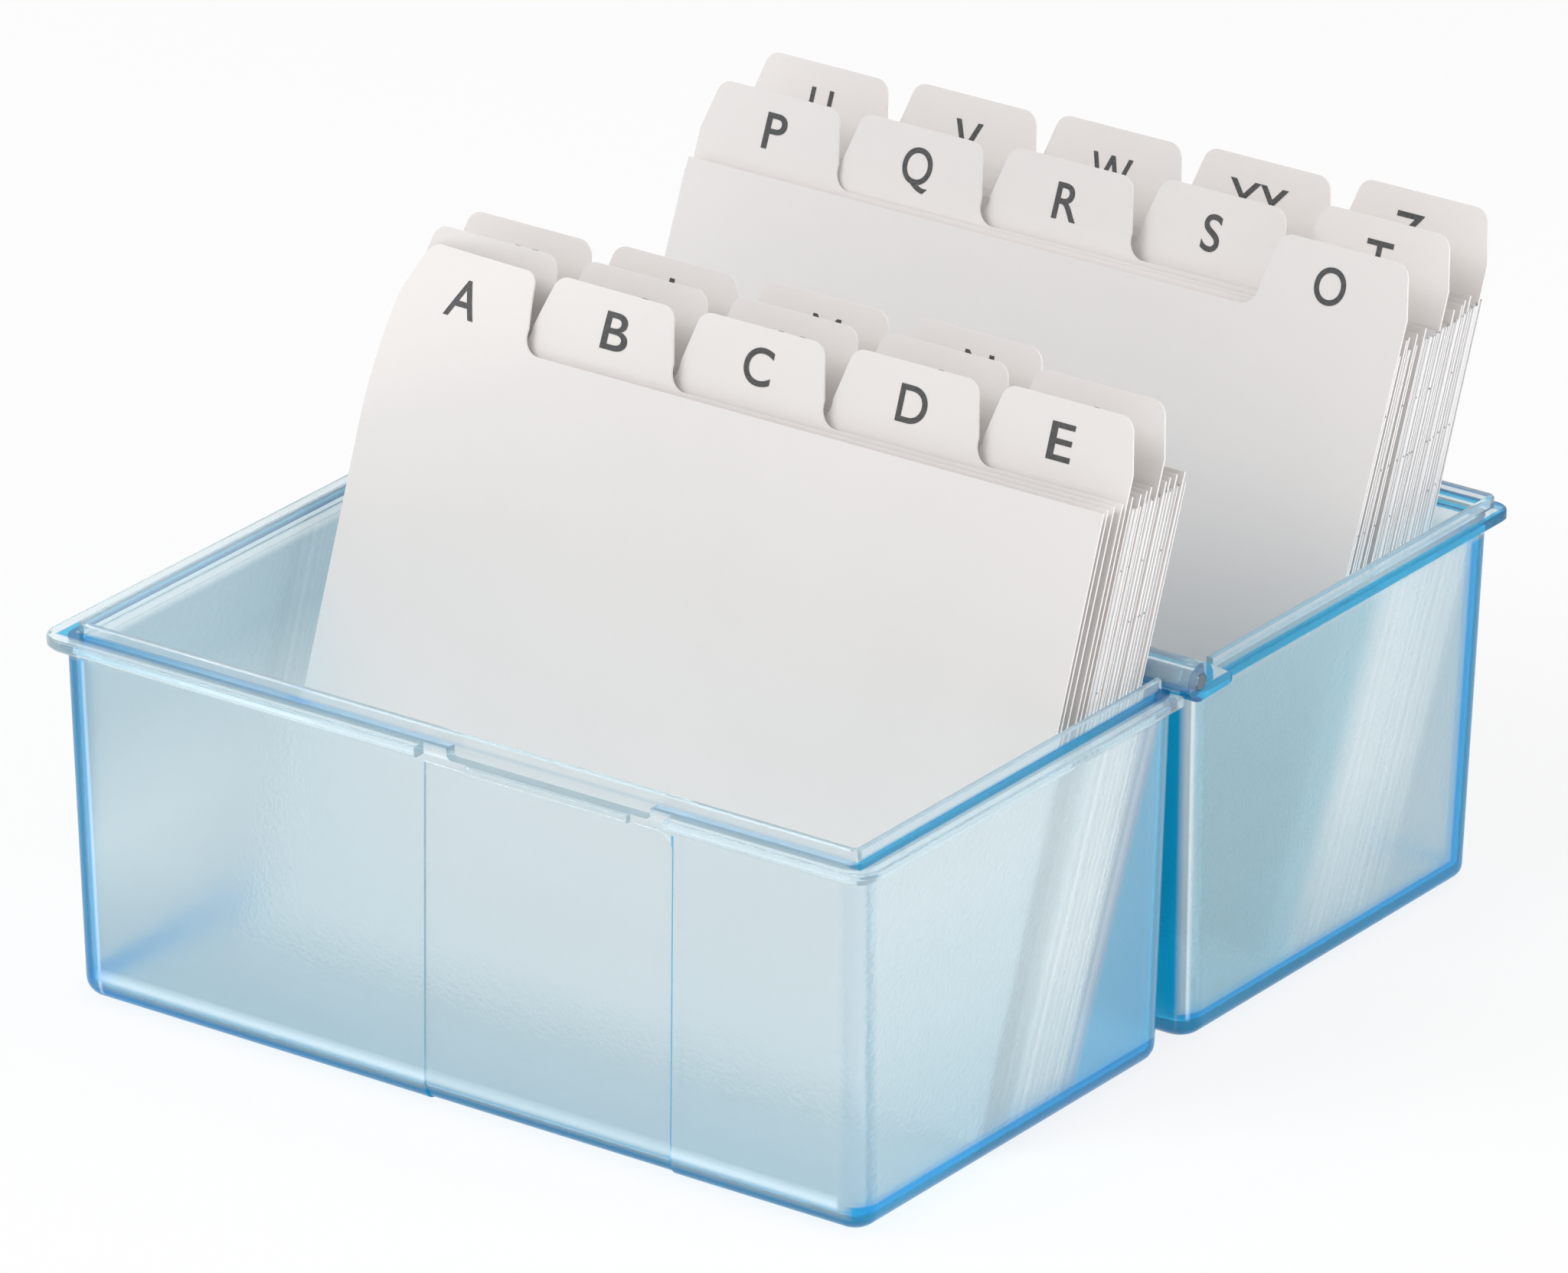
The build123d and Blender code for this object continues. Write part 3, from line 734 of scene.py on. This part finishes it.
def barrel_painted_blue(tree, at):
    """Painted deep blue of the hinge barrels: below and behind the pin, and lightly over their end faces."""
    along = calculate(tree, "SUBTRACT", at["Y"], hinge.y)
    above = calculate(tree, "SUBTRACT", at["Z"], hinge.z)
    squares = [calculate(tree, "POWER", distance, 2.0) for distance in (along, above)]
    radius = calculate(tree, "SQRT", calculate(tree, "ADD", *squares))
    inside = falling(tree, radius, (BARREL_RADIUS, BARREL_RADIUS + BARREL_FADE))
    end_face = rising(tree, calculate(tree, "ABSOLUTE", at["X"]), BARREL_END_FACE, BARREL_END_SHARE)
    below = falling(tree, above, BARREL_BELOW)
    return product(tree, strongest(tree, below, rising(tree, along, BARREL_BACK), end_face), inside)


def rear_painted_blue(tree, at):
    """All the painted deep blue of the rear tray."""
    outside = falling(tree, calculate(tree, "MINIMUM", at["Side"], at["Far"]), FLANGE_EDGE)
    flange = product(tree, outside, band(tree, at["Z"], FLANGE_HEIGHTS))
    right_only = remap(tree, at["X"], *MIDDLE, HIDDEN_CORNER_SHARE, 1.0)
    corner = product(tree, falling(tree, at["Far"], RIGHT_CORNER), falling(tree, at["Side"], EDGE_DEPTH))
    uprights = strongest(tree, product(tree, corner, right_only), hinge_wall_ends(tree, at))
    uprights = product(tree, uprights, below_rim(tree, at))
    side_edge = low_edge(tree, at, "Side", REAR_SIDE_EDGE)
    wall_edge = low_edge(tree, at, "Far", REAR_WALL_EDGE)
    return strongest(tree, flange, uprights, side_edge, wall_edge, barrel_painted_blue(tree, at))


print("barrels end at x", BARREL_END, "m")

# %% [markdown]
# ## Bright lines
# Beside the deep blue, light leaves the plastic in thin bright lines, painted here as a light of the
# plastic's own: above the lower edge and beside the left corner of the front wall, and where the
# rear tray's hinge wall turns into its sides.

# %% Bright lines
FRONT_WALL_FACE = millimetres(0.4, 0.8)
LOW_LINE = millimetres(3.6, 4.4, 4.9, 6.5)
CORNER_LINE = millimetres(4.7, 5.0, 5.3, 5.8)
LEFT_END = millimetres(-70, -60)
OFF_CORNER = millimetres(4.4, 5.2)
TURN_LINE = millimetres(1.3, 1.5, 1.7, 2.1)
TURN_FACE = millimetres(1.9, 2.2)
TURN_HEIGHTS = millimetres(3.0, 4.0, 61.0, 62.0)


def front_glow(tree, at):
    """Painted bright lines beside the painted blue lower edge and left corner of the front wall."""
    corner = product(tree, band(tree, at["Side"], CORNER_LINE), falling(tree, at["X"], LEFT_END))
    lines = strongest(tree, band(tree, at["Z"], LOW_LINE), corner)
    outer = falling(tree, at["Far"], FRONT_WALL_FACE)
    return product(tree, lines, outer, rising(tree, at["Side"], OFF_CORNER), below_rim(tree, at))


def rear_glow(tree, at):
    """Painted bright line where the hinge wall of the rear tray turns into its sides."""
    line = band(tree, at["Hinge"], TURN_LINE)
    return product(tree, line, falling(tree, at["Side"], TURN_FACE), band(tree, at["Z"], TURN_HEIGHTS))


print("low line from", LOW_LINE[0], "to", LOW_LINE[-1], "m")

# %% [markdown]
# ## Colours of the plastic
# The masks now become colours. The walls go from a pale tone to a painted shade and to the painted
# deep blue of the edges. A faint painted light of its own stands for the light that the plastic
# gathers elsewhere and lets out at its edges, on the walls without cards, in front of the cards and
# in bright lines.

# %% Colours of the plastic
WALL_COLOUR = (0.91, 0.93, 0.94)
# painted shade colour, laid on the walls by the shade masks
SHADE_COLOUR = (0.40, 0.57, 0.65)
# painted deep blue, standing for light that runs along the plastic at rims, edges and corners
PAINTED_EDGE_BLUE = (0.0003, 0.33, 0.70)
NO_LIGHT = (0.0, 0.0, 0.0)
# painted light of the plastic's own: walls without cards, edges, card streaks and bright lines
PAINTED_EMPTY_GLOW = (0.0, 0.10, 0.125)
PAINTED_EDGE_GLOW = (0.0, 0.05, 0.085)
PAINTED_CARD_GLOW = (0.12, 0.10, 0.085)
PAINTED_LINE_GLOW = (0.26, 0.28, 0.29)


def tray_colours(tree, at, plastic, masks):
    """Base colour with painted shade and painted deep blue, and painted light of its own, of a tray from its
    five masks.
    """
    painted_blue, shade, empty, streaks, lines = (mask(tree, at) for mask in masks)
    wall_tone = blend_colours(tree, shade, WALL_COLOUR, SHADE_COLOUR)
    # painted shade and painted deep blue are mixed into the base colour
    tree.links.new(blend_colours(tree, painted_blue, wall_tone, PAINTED_EDGE_BLUE), plastic.inputs["Base Color"])
    low_painted_blue = product(tree, painted_blue, below_rim(tree, at))
    # painted light: the empty mask is the bluish glow on walls without cards
    light = blend_colours(tree, empty, NO_LIGHT, PAINTED_EMPTY_GLOW)
    light = blend_colours(tree, low_painted_blue, light, PAINTED_EDGE_GLOW)
    light = blend_colours(tree, streaks, light, PAINTED_CARD_GLOW)
    light = blend_colours(tree, lines, light, PAINTED_LINE_GLOW)
    tree.links.new(light, plastic.inputs["Emission Color"])
    plastic.inputs["Emission Strength"].default_value = 1.0


front_masks = (front_painted_blue, front_shade, front_empty_glow, front_painted_streaks, front_glow)
rear_masks = (rear_painted_blue, rear_shade, rear_empty_glow, rear_painted_streaks, rear_glow)
print("masks:", len(front_masks), "for each tray")

# %% [markdown]
# ## Tinted clear plastic
# The trays are moulded in clear polystyrene with a little blue dye and a fine grain that frosts
# the walls. Most of the light goes through, a small share scatters, which keeps the walls pale,
# and volume absorption tints what goes through. Lamps shine through the walls by a plain
# see-through shader, because bent light would leave noise.

# %% Tinted clear plastic
DYE_COLOUR = (0.16, 0.74, 0.90)
DYE_DENSITY = 45.0
LAMP_TINT = (0.90, 0.95, 0.97, 1)
PLASTIC_GRAIN = {"Fine scale": 1300.0, "Broad scale": 45.0}
SMOOTH_HEIGHTS = millimetres(62.0, 64.0)
ROUGHNESS = (0.24, 0.08)
GRAIN_STRENGTH = (0.45, 0.02)
GRAIN_DEPTH = 0.15 * MM
PLASTIC_SPECULAR = 0.2
PLASTIC_IOR = 1.5
CLEAR_SHARE = 0.82


def tray_surface(tree, at, plastic):
    """Frosted walls and a smooth rim."""
    plastic.inputs["Specular IOR Level"].default_value = PLASTIC_SPECULAR
    plastic.inputs["Transmission Weight"].default_value = CLEAR_SHARE
    plastic.inputs["IOR"].default_value = PLASTIC_IOR
    tree.links.new(remap(tree, at["Z"], *SMOOTH_HEIGHTS, *ROUGHNESS), plastic.inputs["Roughness"])
    grain = place_group(tree, mould_grain, PLASTIC_GRAIN)
    strength = remap(tree, at["Z"], *SMOOTH_HEIGHTS, *GRAIN_STRENGTH)
    tree.links.new(add_bump(tree, grain.outputs["Height"], strength, GRAIN_DEPTH), plastic.inputs["Normal"])


def tray_plastic(name, sizes, masks):
    """Frosted, dyed clear plastic fitted to the walls of one tray."""
    material, tree, out = new_material(name)
    at = read_tray(tree, sizes)
    plastic = tree.nodes.new("ShaderNodeBsdfPrincipled")
    tray_colours(tree, at, plastic, masks)
    tray_surface(tree, at, plastic)
    lamp_way = tree.nodes.new("ShaderNodeBsdfTransparent")
    lamp_way.inputs["Color"].default_value = LAMP_TINT
    path = tree.nodes.new("ShaderNodeLightPath")
    tree.links.new(mix_shaders(tree, path.outputs["Is Shadow Ray"], plastic, lamp_way), out.inputs["Surface"])
    absorbed = tree.nodes.new("ShaderNodeVolumeAbsorption")
    absorbed.inputs["Color"].default_value = (*DYE_COLOUR, 1)
    absorbed.inputs["Density"].default_value = DYE_DENSITY
    tree.links.new(absorbed.outputs[0], out.inputs["Volume"])
    return material


def dress(node_name, material):
    """Give a CAD node one material."""
    mesh = nodes[node_name].data
    mesh.materials.clear()
    mesh.materials.append(material)


dress("front_tray", tray_plastic("front_tray_plastic", front_sizes, front_masks))
dress("rear_tray", tray_plastic("rear_tray_plastic", rear_sizes, rear_masks))
print("trays dressed, clear share", CLEAR_SHARE)

# %% [markdown]
# ## Hinge pins
# The pins are short rods of the same plastic without the frosting, so they look like clear glass
# with a blue outline inside the barrels. A little cloudiness in the roughness keeps them from
# looking too perfect.

# %% Hinge pins
PIN_GRAIN = {"Fine scale": 1800.0, "Broad scale": 150.0}
PIN_TONES = ((0.62, 0.84, 0.94), (0.74, 0.90, 0.97))
PIN_CLEAR_SHARE = 0.9
PIN_ROUGHNESS = (0.05, 0.14)
PIN_GRAIN_STRENGTH = 0.05
PIN_GRAIN_DEPTH = 0.05 * MM
CLOUD_SPAN = (0.3, 0.7)

pin_clear, tree, out = new_material("pin_clear")
grain = place_group(tree, mould_grain, PIN_GRAIN)
pin_shader = tree.nodes.new("ShaderNodeBsdfPrincipled")
tree.links.new(blend_colours(tree, grain.outputs["Cloud"], *PIN_TONES), pin_shader.inputs["Base Color"])
pin_shader.inputs["Transmission Weight"].default_value = PIN_CLEAR_SHARE
pin_shader.inputs["IOR"].default_value = PLASTIC_IOR
pin_rough = remap(tree, grain.outputs["Cloud"], *CLOUD_SPAN, *PIN_ROUGHNESS)
tree.links.new(pin_rough, pin_shader.inputs["Roughness"])
pin_bump = add_bump(tree, grain.outputs["Height"], PIN_GRAIN_STRENGTH, PIN_GRAIN_DEPTH)
tree.links.new(pin_bump, pin_shader.inputs["Normal"])
tree.links.new(pin_shader.outputs[0], out.inputs["Surface"])
pins = ("hinge_pin_left", "hinge_pin_right")
for name in pins:
    dress(name, pin_clear)
print("pins:", ", ".join(pins))

# %% [markdown]
# ## Paper board
# Guides are stiff off-white board and the record cards are thinner and a touch greyer. Both are
# matt, with a faint cloudiness and fibres that only show close up.

# %% Paper board
PAPER_ROUGHNESS = (0.62, 0.78)
FIBRE_STRENGTH = 0.12
FIBRE_DEPTH = 0.05 * MM
GUIDE_TONES = ((0.82, 0.787, 0.768), (0.84, 0.805, 0.785))
GUIDE_FIBRES = {"Fibre scale": 900.0, "Cloud scale": 30.0}
CARD_TONES = ((0.83, 0.825, 0.825), (0.87, 0.865, 0.865))
CARD_FIBRES = {"Fibre scale": 1100.0, "Cloud scale": 60.0}


def paper_material(name, tones, scales):
    """Matt paper with cloudy colour and fibre bump."""
    material, tree, out = new_material(name)
    fibres = place_group(tree, paper_fibre, scales)
    paper = tree.nodes.new("ShaderNodeBsdfPrincipled")
    factor = rising(tree, fibres.outputs["Cloud"], CLOUD_SPAN)
    tree.links.new(blend_colours(tree, factor, *tones), paper.inputs["Base Color"])
    rough = remap(tree, fibres.outputs["Height"], *CLOUD_SPAN, *PAPER_ROUGHNESS)
    tree.links.new(rough, paper.inputs["Roughness"])
    bump = add_bump(tree, fibres.outputs["Height"], FIBRE_STRENGTH, FIBRE_DEPTH)
    tree.links.new(bump, paper.inputs["Normal"])
    tree.links.new(paper.outputs[0], out.inputs["Surface"])
    return material


papers = {
    "guide_": paper_material("guide_board", GUIDE_TONES, GUIDE_FIBRES),
    "cards_": paper_material("record_card", CARD_TONES, CARD_FIBRES),
}
for start, paper in papers.items():
    sheets = [name for name in nodes if name.startswith(start)]
    for name in sheets:
        dress(name, paper)
    print(paper.name, "on", len(sheets), "nodes")

# %% [markdown]
# ## Print inks
# The letters are printed in a dark ink that lets a little of the paper's fibres through. The rules
# on the cards are a weaker ink, of which only the ends show. Both take their unevenness from the
# same fibres as the paper.

# %% Print inks
INK_SPAN = (0.35, 0.65)
LETTER_TONES = ((0.045, 0.045, 0.047), (0.085, 0.085, 0.088))
LETTER_FIBRES = {"Fibre scale": 2500.0, "Cloud scale": 400.0}
LETTER_ROUGHNESS = 0.6
RULE_TONES = ((0.06, 0.07, 0.08), (0.22, 0.25, 0.28))
RULE_FIBRES = {"Fibre scale": 2500.0, "Cloud scale": 300.0}
RULE_ROUGHNESS = 0.7


def ink_material(name, tones, scales, pattern, roughness):
    """Matt ink, uneven by one of the outputs of the paper's fibres."""
    material, tree, out = new_material(name)
    fibres = place_group(tree, paper_fibre, scales)
    shader = tree.nodes.new("ShaderNodeBsdfPrincipled")
    factor = rising(tree, fibres.outputs[pattern], INK_SPAN)
    tree.links.new(blend_colours(tree, factor, *tones), shader.inputs["Base Color"])
    shader.inputs["Roughness"].default_value = roughness
    tree.links.new(shader.outputs[0], out.inputs["Surface"])
    return material


letter_ink = ink_material("dark_print", LETTER_TONES, LETTER_FIBRES, "Height", LETTER_ROUGHNESS)
rule_ink = ink_material("rule_ink", RULE_TONES, RULE_FIBRES, "Cloud", RULE_ROUGHNESS)
print("inks:", letter_ink.name, rule_ink.name)

# %% [markdown]
# ## Outlines of the letters
# Each tab carries its letter in plain dark print. Blender's own font gives the outline, made a
# little heavier. The outline of M folds over itself when it is made heavier, so that one stays as
# it is. The flat mesh is divided, so that it can bend with a curling guide.

# %% Outlines of the letters
LETTER_CUTS = 3
LETTER_WEIGHT = 0.009
THIN_LETTERS = ("M",)


def letter_mesh(text):
    """Flat outline of one or two letters, centred, in the units of the font."""
    curve = bpy.data.curves.new("letter", "FONT")
    curve.body = text
    curve.align_x = "CENTER"
    curve.offset = 0.0 if text in THIN_LETTERS else LETTER_WEIGHT
    holder = bpy.data.objects.new("letter", curve)
    scene.collection.objects.link(holder)
    bpy.context.view_layer.update()
    mesh = bpy.data.meshes.new_from_object(holder.evaluated_get(bpy.context.evaluated_depsgraph_get()))
    bpy.data.objects.remove(holder)
    bpy.data.curves.remove(curve)
    work = bmesh.new()
    work.from_mesh(mesh)
    bmesh.ops.triangulate(work, faces=work.faces)
    bmesh.ops.subdivide_edges(work, edges=work.edges, cuts=LETTER_CUTS, use_grid_fill=True)
    work.to_mesh(mesh)
    work.free()
    return mesh


cap_mesh = letter_mesh("E")
CAP_UNITS = max(v.co.y for v in cap_mesh.vertices)
bpy.data.meshes.remove(cap_mesh)
print("cap height in font units:", round(CAP_UNITS, 3))

# %% [markdown]
# ## Places of the letters
# A letter sits in the middle of its tab, but printing is never quite even: some letters sit a
# little aside or higher, in millimetres, and some are wider or narrower. The lean of a guide is
# read from its right edge, which is straight on the curling guides too.

# %% Places of the letters
EDGE_SEARCH = 0.05 * MM
FRONT_GUIDES = "a b c d e f g h i j k l m n".split()
REAR_GUIDES = "o p q r s t u v w xy z".split()
LETTER_NUDGE = {
    "a": (-0.3, -0.5), "b": (1.9, 0.4), "c": (0.9, 0.4), "d": (0.7, 0.2), "e": (-0.3, 0.0), "l": (0.9, 0.65),
    "m": (0.9, 0.6), "n": (0.8, 0.6), "o": (-1.3, 0.1), "p": (0.3, 0.4), "q": (0.6, 0.4), "r": (0.3, 0.0),
    "s": (-0.8, -0.1), "t": (-0.2, 0.1), "u": (-0.1, -0.4), "v": (-0.2, -0.5), "w": (-0.3, -0.9),
    "xy": (-1.0, -0.2), "z": (-2.0, 0.0),
}
LETTER_WIDTH = {"a": 1.08, "b": 1.22, "e": 1.27, "o": 0.92, "p": 1.1, "q": 0.9, "u": 0.86, "w": 0.86}


def sheet_lean(points):
    """Lean of a sheet from upright, read from its straight right edge."""
    far_right = max(p.x for p in points)
    edge = [p for p in points if p.x > far_right - EDGE_SEARCH]
    foot = min(edge, key=lambda p: p.z)
    top = max(edge, key=lambda p: p.z)
    return math.atan2(top.y - foot.y, top.z - foot.z)


print("nudged letters:", len(LETTER_NUDGE))

# %% [markdown]
# ## Letters on the tabs
# A letter is laid out flat in the sheet's own directions, and every point is then dropped onto the
# guide behind it, so that it follows the guides that curl as well as the flat ones. It is lifted a
# hair off the board, to keep the two surfaces apart.

# %% Letters on the tabs
LETTER_CAP = 6.25 * MM
LETTER_BELOW_TOP = 6.9 * MM
TAB_PART = 13.3 * MM * 0.5
INK_LIFT = 0.05 * MM
CAST_ROOM = 0.02


def print_letter(guide, body):
    """Lay a letter on its tab and drop it onto the front of the guide."""
    cad = nodes["guide_" + guide]
    points = [v.co.copy() for v in cad.data.vertices]
    lean = sheet_lean(points)
    along = Vector((0, math.sin(lean), math.cos(lean)))
    back = Vector((0, math.cos(lean), -math.sin(lean)))
    top = max(p.dot(along) for p in points)
    tab = [p.x for p in points if p.dot(along) > top - TAB_PART]
    aside, raised = LETTER_NUDGE.get(guide, (0.0, 0.0))
    middle = (min(tab) + max(tab)) / 2 + aside * MM
    centre = top - LETTER_BELOW_TOP + raised * MM
    surface = BVHTree.FromObject(cad, bpy.context.evaluated_depsgraph_get())
    mesh = letter_mesh(guide.upper())
    size = LETTER_CAP / CAP_UNITS
    width = size * LETTER_WIDTH.get(guide, 1.0)
    near = min(p.dot(back) for p in points) - CAST_ROOM
    for v in mesh.vertices:
        x = middle + v.co.x * width
        height = centre + (v.co.y - CAP_UNITS / 2) * size
        start = Vector((x, 0, 0)) + along * height + back * near
        hit = surface.ray_cast(start, back)[0]
        v.co = (hit if hit else start) - back * INK_LIFT
    mesh.materials.clear()
    mesh.materials.append(letter_ink)
    letter = bpy.data.objects.new("letter_" + guide, mesh)
    scene.collection.objects.link(letter)
    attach(letter, body)


for guide in FRONT_GUIDES:
    print_letter(guide, "front_half")
for guide in REAR_GUIDES:
    print_letter(guide, "rear_half")
print("letters:", len(FRONT_GUIDES) + len(REAR_GUIDES))

# %% [markdown]
# ## Edges of the cards
# The record cards are ruled, and where a rule runs off the sheet its end shows as a dark speck on
# the cut edge. To place the specks, the right edge of every single card is needed. The mesh of a
# pack holds many cards, so a merged copy is split into its separate pieces first.

# %% Edges of the cards
MERGE_DISTANCE = 0.001 * MM
CORNER_SEARCH = 0.02 * MM


def single_cards(mesh):
    """Corner points of each separate card in the mesh of a pack."""
    work = bmesh.new()
    work.from_mesh(mesh)
    bmesh.ops.remove_doubles(work, verts=work.verts, dist=MERGE_DISTANCE)
    waiting = set(work.verts)
    cards = []
    for first in work.verts:
        if first not in waiting:
            continue
        waiting.remove(first)
        card = [first]
        for vertex in card:
            for edge in vertex.link_edges:
                other = edge.other_vert(vertex)
                if other in waiting:
                    waiting.remove(other)
                    card.append(other)
        cards.append([v.co.copy() for v in card])
    work.free()
    return cards


def card_edges(names):
    """Foot and top of the right edge of every single card in the named packs."""
    pairs = []
    for name in names:
        for card in single_cards(nodes[name].data):
            far_right = max(p.x for p in card)
            corners = sorted((p for p in card if p.x > far_right - CORNER_SEARCH), key=lambda p: p.z)
            pairs.append(((corners[0] + corners[1]) / 2, (corners[-1] + corners[-2]) / 2))
    return pairs


front_packs = ["cards_" + guide for guide in FRONT_GUIDES if "cards_" + guide in nodes]
rear_packs = ["cards_" + guide for guide in REAR_GUIDES if "cards_" + guide in nodes]
print("packs:", len(front_packs), "front,", len(rear_packs), "rear")

# %% [markdown]
# ## Nodes for the ends of the ruled lines
# The specks repeat at the line spacing up every card, so Geometry Nodes place them: one edge per
# card becomes a curve, is resampled at the spacing, and gets small blocks at a random share of its
# points. The seed is fixed, so the specks fall in the same places each time.

# %% Nodes for the ends of the ruled lines
RULE_INPUTS = {
    "Geometry": "Geometry", "Spacing": "Float", "Share": "Float", "Speck size": "Vector", "Seed": "Int",
    "Ink": "Material",
}
TRUTH_OUTPUT = 3


def rule_tree():
    """Node tree: edges to curves, points at the spacing, a block on a random share of them."""
    tree = bpy.data.node_groups.new("ruled_line_ends", "GeometryNodeTree")
    for label, kind in RULE_INPUTS.items():
        tree.interface.new_socket(label, in_out="INPUT", socket_type="NodeSocket" + kind)
    tree.interface.new_socket("Geometry", in_out="OUTPUT", socket_type="NodeSocketGeometry")
    given = tree.nodes.new("NodeGroupInput").outputs
    result = tree.nodes.new("NodeGroupOutput")
    curves = tree.nodes.new("GeometryNodeMeshToCurve")
    points = tree.nodes.new("GeometryNodeResampleCurve")
    points.mode = "LENGTH"
    chance = tree.nodes.new("FunctionNodeRandomValue")
    chance.data_type = "BOOLEAN"
    block = tree.nodes.new("GeometryNodeMeshCube")
    placed = tree.nodes.new("GeometryNodeInstanceOnPoints")
    solid = tree.nodes.new("GeometryNodeRealizeInstances")
    inked = tree.nodes.new("GeometryNodeSetMaterial")
    tree.links.new(given["Geometry"], curves.inputs["Mesh"])
    tree.links.new(curves.outputs["Curve"], points.inputs["Curve"])
    tree.links.new(given["Spacing"], points.inputs["Length"])
    tree.links.new(given["Share"], chance.inputs["Probability"])
    tree.links.new(given["Seed"], chance.inputs["Seed"])
    tree.links.new(given["Speck size"], block.inputs["Size"])
    tree.links.new(points.outputs["Curve"], placed.inputs["Points"])
    tree.links.new(chance.outputs[TRUTH_OUTPUT], placed.inputs["Selection"])
    tree.links.new(block.outputs["Mesh"], placed.inputs["Instance"])
    tree.links.new(placed.outputs["Instances"], solid.inputs["Geometry"])
    tree.links.new(solid.outputs["Geometry"], inked.inputs["Geometry"])
    tree.links.new(given["Ink"], inked.inputs["Material"])
    tree.links.new(inked.outputs["Geometry"], result.inputs["Geometry"])
    return tree


ruled_line_ends = rule_tree()
print("tree:", ruled_line_ends.name, "with", len(ruled_line_ends.nodes), "nodes")

# %% [markdown]
# ## Ends of the ruled lines
# The tree runs once for each tray, on a mesh of bare edges. Its result is turned into a plain mesh,
# which rides with the tray that holds the cards.

# %% Ends of the ruled lines
SPECK_SIZE = Vector((0.05, 0.20, 0.30)) * MM
RULE_VALUES = {"Spacing": 9.5 * MM, "Share": 0.22, "Speck size": SPECK_SIZE, "Seed": 11, "Ink": rule_ink}
BLOCK_FACES = 6


def rule_specks(name, packs, body):
    """Specks on one run of cards as a plain mesh that rides its tray."""
    lines = bpy.data.meshes.new(name)
    pairs = card_edges(packs)
    ends = [point for pair in pairs for point in pair]
    lines.from_pydata(ends, [(i, i + 1) for i in range(0, len(ends), 2)], [])
    holder = bpy.data.objects.new(name + "_lines", lines)
    scene.collection.objects.link(holder)
    modifier = holder.modifiers.new("ruled_line_ends", "NODES")
    modifier.node_group = ruled_line_ends
    for item in ruled_line_ends.interface.items_tree:
        if item.in_out == "INPUT" and item.name in RULE_VALUES:
            modifier[item.identifier] = RULE_VALUES[item.name]
    graph = bpy.context.evaluated_depsgraph_get()
    mesh = bpy.data.meshes.new_from_object(holder.evaluated_get(graph))
    bpy.data.objects.remove(holder)
    specks = bpy.data.objects.new(name, mesh)
    scene.collection.objects.link(specks)
    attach(specks, body)
    print(name, len(pairs), "cards,", len(mesh.polygons) // BLOCK_FACES, "specks")


rule_specks("front_rules", front_packs, "front_half")
rule_specks("rear_rules", rear_packs, "rear_half")

# %% [markdown]
# ## End

# %% End
print("done")
